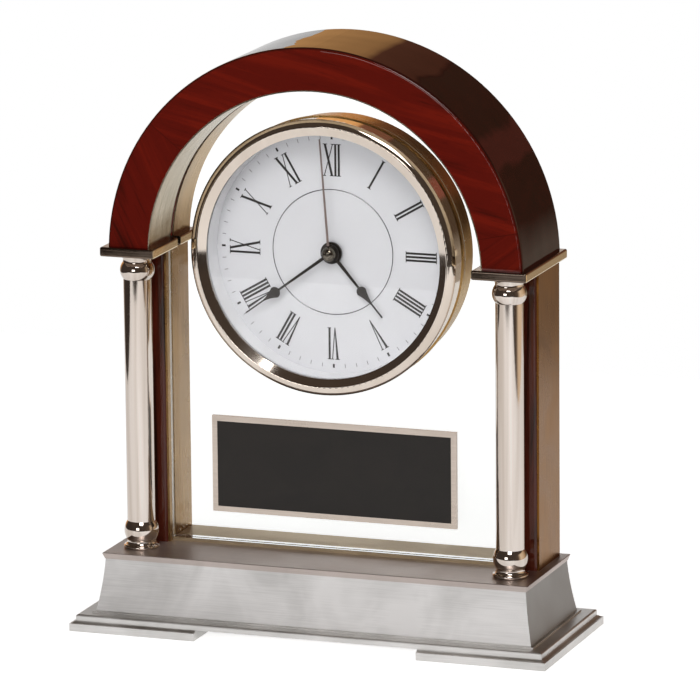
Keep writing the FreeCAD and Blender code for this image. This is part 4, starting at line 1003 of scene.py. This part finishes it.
@dataclass
class DialPrint:
    """Roman numerals, minute marks and the raised ring on the dial."""

    centre: Vector
    front: float
    numerals: tuple[str, ...] = (
        "I", "II", "III", "IIII", "V", "VI", "VII", "VIII", "IX", "X", "XI", "XII")
    feet: float = 29.0 * MM
    height: float = 12.3 * MM
    thick: float = 0.82 * MM
    thin: float = 0.36 * MM
    serif: float = 0.3 * MM
    overhang: float = 0.42 * MM
    letter_gap: float = 0.54 * MM
    bar_inner: float = 43.0 * MM
    bar_length: float = 1.5 * MM
    bar_width: float = 0.78 * MM
    tick_width: float = 0.24 * MM
    ring_radius: float = 23.9 * MM
    ring_bead: float = 0.19 * MM
    proud: float = 0.03 * MM
    sunk: float = 0.05 * MM
    heavy: float = 1.12
    meeting: float = 0.54
    notch: float = 0.16
    toe: float = 0.2
    bead_rise: float = 0.55
    bead_facets: int = 10
    ring_facets: int = 240
    hour_turn: float = 30.0
    minute_turn: float = 6.0
    ink: Finish = MouldedPlastic("dial_ink", shade(40, 36, 33), shade(28, 25, 23), 0.45, 4200.0, 0.05)
    pale_ink: Finish = MouldedPlastic(
        "tick_ink", shade(128, 126, 126), shade(104, 102, 102), 0.45, 4200.0, 0.05)
    bead: Finish = PolishedMetal("ring_bead_metal", shade(170, 170, 172), shade(120, 120, 124), 0.16)

    def at(self, bearing: float, side: float, out: float) -> Vector:
        """A point on the dial.

        Args:
            bearing: the clock bearing in degrees, from twelve.
            side: the distance to the right, seen from outside.
            out: the distance from the centre.

        Returns:
            The point, just proud of the dial.
        """
        turn = math.radians(bearing)
        x = side * math.cos(turn) + out * math.sin(turn)
        z = out * math.cos(turn) - side * math.sin(turn)
        return Vector((x, self.front - self.proud, self.centre.z + z))

    def draw(self, carving: Carving, bearing: float, shapes: Sequence[Outline]) -> None:
        """Prints shapes whose corners are given as side and height above the numerals' feet.

        Args:
            carving: the mesh that takes them.
            bearing: the bearing they are printed at.
            shapes: their outlines.
        """
        for corners in shapes:
            outline = [self.at(bearing, side, self.feet + up) for side, up in corners]
            carving.slab(outline, Vector((0.0, self.proud + self.sunk, 0.0)))

    def foot(self, start: float, end: float, level: float) -> Outline:
        """The serif of one stroke, which reaches past both its sides, at a level above the feet."""
        return oblong(start - self.overhang, end + self.overhang, level, level + self.serif)

    def letter(self, kind: Letter, left: float) -> list[Outline]:
        """Draws one letter.

        Args:
            kind: which letter.
            left: its left edge without serifs.

        Returns:
            Its shapes.
        """
        low, high = self.serif, self.height - self.serif
        width = kind.value * MM
        right = left + width
        if kind is Letter.I:
            return [oblong(left, right, low, high)]
        thick = self.thick * self.heavy
        if kind is Letter.V:
            middle, toe = left + width * self.meeting, self.toe * self.thick
            strokes = [
                (left, high), (left + thick, high), (middle, low + self.notch * self.height),
                (right - self.thin, high), (right, high), (middle + toe, 0.0), (middle - toe, 0.0)]
            return [strokes, self.foot(left, left + thick, high), self.foot(right - self.thin, right, high)]
        heavy = ((left, high), (right - thick, low)), ((left + thick, high), (right, low))
        light = ((right - self.thin, high), (left, low)), ((right, high), (left + self.thin, low))
        shapes = [[
            heavy[0][0], heavy[1][0], crossing(heavy[1], light[0]), light[0][0], light[1][0],
            crossing(light[1], heavy[1]), heavy[1][1], heavy[0][1], crossing(heavy[0], light[1]),
            light[1][1], light[0][1], crossing(light[0], heavy[0])]]
        for level, wide, narrow in ((high, left, right - self.thin), (0.0, right - thick, left)):
            shapes += [self.foot(wide, wide + thick, level), self.foot(narrow, narrow + self.thin, level)]
        return shapes

    def numeral(self, text: str) -> list[Outline]:
        """Draws one numeral, whose stems share their serifs.

        Args:
            text: its letters.

        Returns:
            Its shapes.
        """
        letters = [Letter[sign] for sign in text]
        width = sum(kind.value * MM for kind in letters) + self.letter_gap * (len(letters) - 1)
        left = -width / 2
        shapes: list[Outline] = []
        stems: list[float] = []
        for kind in letters:
            shapes += self.letter(kind, left)
            if kind is Letter.I:
                stems.append(left)
            left += kind.value * MM + self.letter_gap
        if stems:
            touch = self.letter_gap / 3
            start = stems[0] - (touch if stems[0] > -width / 2 else self.overhang)
            followed = text.startswith("I") and len(letters) > len(stems)
            end = stems[-1] + self.thick + (touch if followed else self.overhang)
            for level in (0.0, self.height - self.serif):
                shapes.append(oblong(start, end, level, level + self.serif))
        return shapes

    def print_marks(self) -> None:
        """Prints the numerals, the marks round them and the raised ring."""
        numerals, bars, ticks, ring = Carving(), Carving(), Carving(), Carving()
        for hour, text in enumerate(self.numerals, start=1):
            self.draw(numerals, hour * self.hour_turn, self.numeral(text))
        low = self.bar_inner - self.feet
        high = low + self.bar_length
        for minute in range(60):
            carving, width = (ticks, self.tick_width) if minute % 5 else (bars, self.bar_width)
            self.draw(carving, minute * self.minute_turn, [oblong(-width / 2, width / 2, low, high)])
        bead = []
        for facet in range(self.bead_facets):
            turn = math.tau * facet / self.bead_facets
            rise = self.bead_rise * self.ring_bead * math.sin(turn)
            bead.append((self.ring_radius + self.ring_bead * math.cos(turn), rise))
        ring.lathe(bead, Vector((0.0, self.front, self.centre.z)), self.ring_facets)
        ink = self.ink.make()
        for carving, name, finish in (
                (numerals, "dial_numerals", ink), (bars, "five_minute_bars", ink),
                (ticks, "minute_ticks", self.pale_ink.make()), (ring, "dial_ring", self.bead.make())):
            made = carving.piece(name, finish, smooth=name == "dial_ring")
            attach(made, "clock")
            log.info("%s printed on the dial", name)


@dataclass
class Movement:
    """The quartz movement in the drum: case, motor, train, cell and knob."""

    case: Finish = MouldedPlastic("case_plastic", shade(34, 34, 36), shade(20, 20, 22), 0.45, 1800.0, 0.3)
    pale_gear: Finish = MouldedPlastic("white_gear_plastic", shade(222, 220, 212), shade(198, 196, 188), 0.35)
    dark_gear: Finish = MouldedPlastic("grey_gear_plastic", shade(78, 78, 82), shade(56, 56, 60), 0.35)
    knob: Finish = MouldedPlastic("knob_plastic", shade(44, 44, 46), shade(28, 28, 30), 0.4)
    brass: Finish = PolishedMetal("turned_brass", shade(214, 176, 96), shade(180, 140, 66), 0.16)
    steel: Finish = PolishedMetal("stamped_steel", shade(186, 186, 184), shade(140, 140, 140), 0.26)
    magnet: Finish = PolishedMetal("plated_magnet", shade(120, 120, 124), shade(84, 84, 88), 0.3)

    def dress(self) -> None:
        """Dresses the movement from the case inwards."""
        dress(self.case, "movement_case", "movement_plate")
        dress(self.pale_gear, "second_wheel", "minute_wheel", "motion_wheel")
        dress(self.dark_gear, "intermediate_wheel", "third_wheel", "hour_wheel")
        dress(self.knob, "set_knob")
        dress(self.brass, "bush_nut")
        dress(self.steel, "motor_stator", "cell_contacts")
        dress(self.magnet, "rotor")
        dress(CopperWinding(), "motor_coil")
        dress(CircuitBoard(), "circuit_board")
        low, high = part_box("cell")
        dress(CellJacket("cell_sleeve", low.x, high.x), "cell")


# Room and camera

TAN: Colour = (0.40, 0.30, 0.22)
SAND: Colour = (0.75, 0.58, 0.40)
STONE: Colour = (0.31, 0.25, 0.19)
BROWN: Colour = (0.10, 0.07, 0.05)
SOOT: Colour = (0.06, 0.045, 0.035)
GLOOM: Colour = (0.05, 0.04, 0.035)


@dataclass
class SoftLamp:
    """One large soft lamp aimed at the clock."""

    name: str
    place: Triple
    size: Pair
    power: float
    tint: Colour = (1.0, 1.0, 1.0)
    mirrored: bool = True
    target: Triple = (0.0, 0.0, 0.11)

    def hang(self) -> None:
        """Hangs the lamp and aims it."""
        data = bpy.data.lights.new(self.name, "AREA")
        data.shape = "RECTANGLE"
        data.size, data.size_y = self.size
        data.energy = self.power
        data.color = self.tint
        lamp = bpy.data.objects.new(self.name, data)
        lamp.location = self.place
        lamp.visible_glossy = self.mirrored
        lamp.rotation_euler = (Vector(self.target) - Vector(self.place)).to_track_quat("-Z", "Y").to_euler()
        bpy.context.scene.collection.objects.link(lamp)


@dataclass
class Studio:
    """A white table with a white card behind it, in a plain room with soft lamps.

    The walls' tones stand by the share of a full turn, and their levels by the height of a direction.
    """

    table_side: float = 0.5
    table_front: float = -0.62
    table_rear: float = 0.45
    table_depth: float = 0.02
    table_tones: Stops = ((0.3, (0.80, 0.80, 0.80)), (0.7, (0.83, 0.83, 0.83)))
    card: Pair = (-0.42, 0.02)
    card_height: float = 0.26
    card_depth: float = 0.004
    glow: float = 0.75
    mirrored_share: float = 0.6
    daylight: float = 0.28
    lamps: tuple[SoftLamp, ...] = (
        SoftLamp("key_lamp", (0.27, -1.0, 1.1), (0.55, 0.5), 5.4),
        SoftLamp("window_lamp", (-0.21, -1.47, 0.30), (0.5, 0.35), 1.6),
        SoftLamp("left_lamp", (-1.1, -0.7, 0.5), (0.5, 0.9), 0.8, mirrored=False),
        SoftLamp("right_lamp", (1.3, -0.3, 0.7), (0.4, 0.8), 0.7, (1.0, 0.93, 0.85), mirrored=False),
    )
    low_walls: Stops = (
        (0.00, TAN), (0.12, TAN), (0.20, GLOOM), (0.62, (0.04, 0.033, 0.028)), (0.70, BROWN),
        (0.76, SAND), (0.86, (0.70, 0.56, 0.42)), (0.92, STONE), (0.98, STONE),
    )
    middle_walls: Stops = (
        (0.00, (0.05, 0.03, 0.02)), (0.002, (0.20, 0.08, 0.045)), (0.032, (0.22, 0.09, 0.05)),
        (0.036, (0.90, 0.46, 0.17)), (0.13, (0.78, 0.42, 0.17)), (0.20, GLOOM), (0.62, SOOT),
        (0.70, BROWN), (0.76, SAND), (0.86, (0.50, 0.34, 0.20)), (0.92, (0.08, 0.05, 0.03)),
    )
    upper_walls: Colour = SOOT
    middle_from: Pair = (-0.14, -0.03)
    upper_from: Pair = (0.40, 0.48)
    curtain: Colour = (0.24, 0.075, 0.05)
    curtain_foot: Pair = (0.15, 0.17)
    curtain_head: Pair = (0.25, 0.27)
    curtain_side: Pair = (0.90, 0.91)

    def build(self) -> None:
        """Builds the table, the room's light and the lamps."""
        bpy.context.scene.view_settings.view_transform = "Standard"
        self.lay_table()
        self.light_room()
        for lamp in self.lamps:
            lamp.hang()
            log.info("%s hung", lamp.name)

    def lay_table(self) -> None:
        """Lays the white table top, which keeps the clock's shadow."""
        bench = FinishBench("white_table")
        speckle = bench.noise(bench.place, 240.0, 2.0)
        top = bench.coat({
            "Base Color": bench.ramp(speckle, self.table_tones),
            "Roughness": bench.spread(speckle, NOISE_SPAN, (0.85, 0.92)),
            "Specular IOR Level": 0.1,
        })
        path = bench.add("ShaderNodeLightPath").outputs
        mirrored = bench.math("MAXIMUM", path["Is Glossy Ray"], path["Is Transmission Ray"])
        dimmed = bench.math("MULTIPLY", mirrored, self.mirrored_share)
        seen = bench.math("MAXIMUM", bench.backdrop_share(), dimmed)
        strength = bench.math("MULTIPLY", seen, self.glow)
        glow = bench.add("ShaderNodeEmission", {"Color": WHITE, "Strength": strength})
        both = bench.add("ShaderNodeAddShader", {0: top, 1: glow.outputs[0]})
        side, front, rear = self.table_side, self.table_front, self.table_rear
        corners = ((-side, front), (-side, rear), (side, rear), (side, front))
        carving = Carving()
        carving.slab([Vector((x, y, cad_box[0][2])) for x, y in corners], Vector((0.0, 0.0, -self.table_depth)))
        white = bench.close(both.outputs[0])
        carving.piece("table_top", white)
        self.stand_card(white)

    def stand_card(self, white: Material) -> None:
        """Stands a white card behind the clock, seen only mirrored or through glass.

        Args:
            white: the table's own white.
        """
        (low, high), top = self.card, self.card_height
        corners = ((low, 0.0), (high, 0.0), (high, top), (low, top))
        carving = Carving()
        carving.slab([Vector((x, self.table_rear, z)) for x, z in corners], Vector((0.0, self.card_depth, 0.0)))
        card = carving.piece("white_card", white)
        card.visible_camera = card.visible_diffuse = card.visible_shadow = False

    def light_room(self) -> None:
        """Lights the room: a white backdrop, and walls that polished metal mirrors."""
        world = bpy.data.worlds.new("room")
        bpy.context.scene.world = world
        world.use_nodes = True
        bench = NodeBench(world.node_tree)
        way = bench.add("ShaderNodeTexCoord").outputs["Generated"]
        x, y, z = bench.split(way)
        turn = bench.math("DIVIDE", bench.math("ARCTAN2", x, bench.math("MULTIPLY", y, -1.0)), math.tau)
        turn = bench.math("ADD", turn, 0.5)
        walls = bench.mix(bench.spread(z, self.middle_from),
                          bench.ramp(turn, self.low_walls), bench.ramp(turn, self.middle_walls))
        above = bench.spread(z, self.curtain_foot)
        below = bench.spread(z, self.curtain_head, FALL)
        beside = bench.spread(turn, self.curtain_side)
        hung = bench.math("MULTIPLY", bench.math("MULTIPLY", above, below), beside)
        walls = bench.mix(hung, walls, self.curtain)
        walls = bench.mix(bench.spread(z, self.upper_from), walls, self.upper_walls)
        path = bench.add("ShaderNodeLightPath").outputs
        walls = bench.mix(path["Is Diffuse Ray"], walls, (self.daylight,) * 3)
        light = bench.add("ShaderNodeBackground", {"Color": bench.mix(bench.backdrop_share(), walls, WHITE)})
        bench.add("ShaderNodeOutputWorld", {"Surface": light.outputs[0]})


@dataclass
class PhotoCamera:
    """A long lens at the photograph's own angle."""

    target: Triple = (0.000955, 0.01527, 0.105087)
    distance: float = 2.409605
    yaw: float = 19.849
    pitch: float = 12.427
    roll: float = -0.534
    lens: float = 327.05
    sensor: float = 36.0

    def set_up(self) -> None:
        """Sets the camera up and makes it the scene's own."""
        yaw, pitch, roll = (math.radians(angle) for angle in (self.yaw, self.pitch, self.roll))
        back = Vector((math.sin(yaw) * math.cos(pitch), -math.cos(yaw) * math.cos(pitch), math.sin(pitch)))
        right = Vector((math.cos(yaw), math.sin(yaw), 0.0))
        above = back.cross(right)
        across = math.cos(roll) * right + math.sin(roll) * above
        upward = math.cos(roll) * above - math.sin(roll) * right
        data = bpy.data.cameras.new("photo_camera")
        data.sensor_width = self.sensor
        data.lens = self.lens
        data.clip_end = 20.0
        camera = bpy.data.objects.new("photo_camera", data)
        place = Vector(self.target) + back * self.distance
        turn = Matrix((across, upward, back)).transposed()
        camera.matrix_world = Matrix.Translation(place) @ turn.to_4x4()
        bpy.context.scene.collection.objects.link(camera)
        bpy.context.scene.camera = camera
        log.info("camera set up")


def main() -> None:
    """Builds the sub-assemblies in order and dresses each."""
    logging.basicConfig(level=logging.INFO, format="%(name)s: %(message)s")
    low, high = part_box("bezel")
    centre = ((low.x + high.x) / 2, 0.0, (low.z + high.z) / 2)
    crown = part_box("arch")[1]
    arch_centre = (0.0, 0.0, crown.z - crown.x)
    MetalBase().dress()
    ColumnPair().dress()
    LegPair().dress()
    WoodenArch(arch_centre, crown.x).dress()
    GlassPanel().dress()
    ClockHead(centre).dress()
    DialPrint(Vector(centre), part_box("dial")[0].y).print_marks()
    Movement().dress()
    Studio().build()
    PhotoCamera().set_up()


if __name__ == "__main__":
    main()
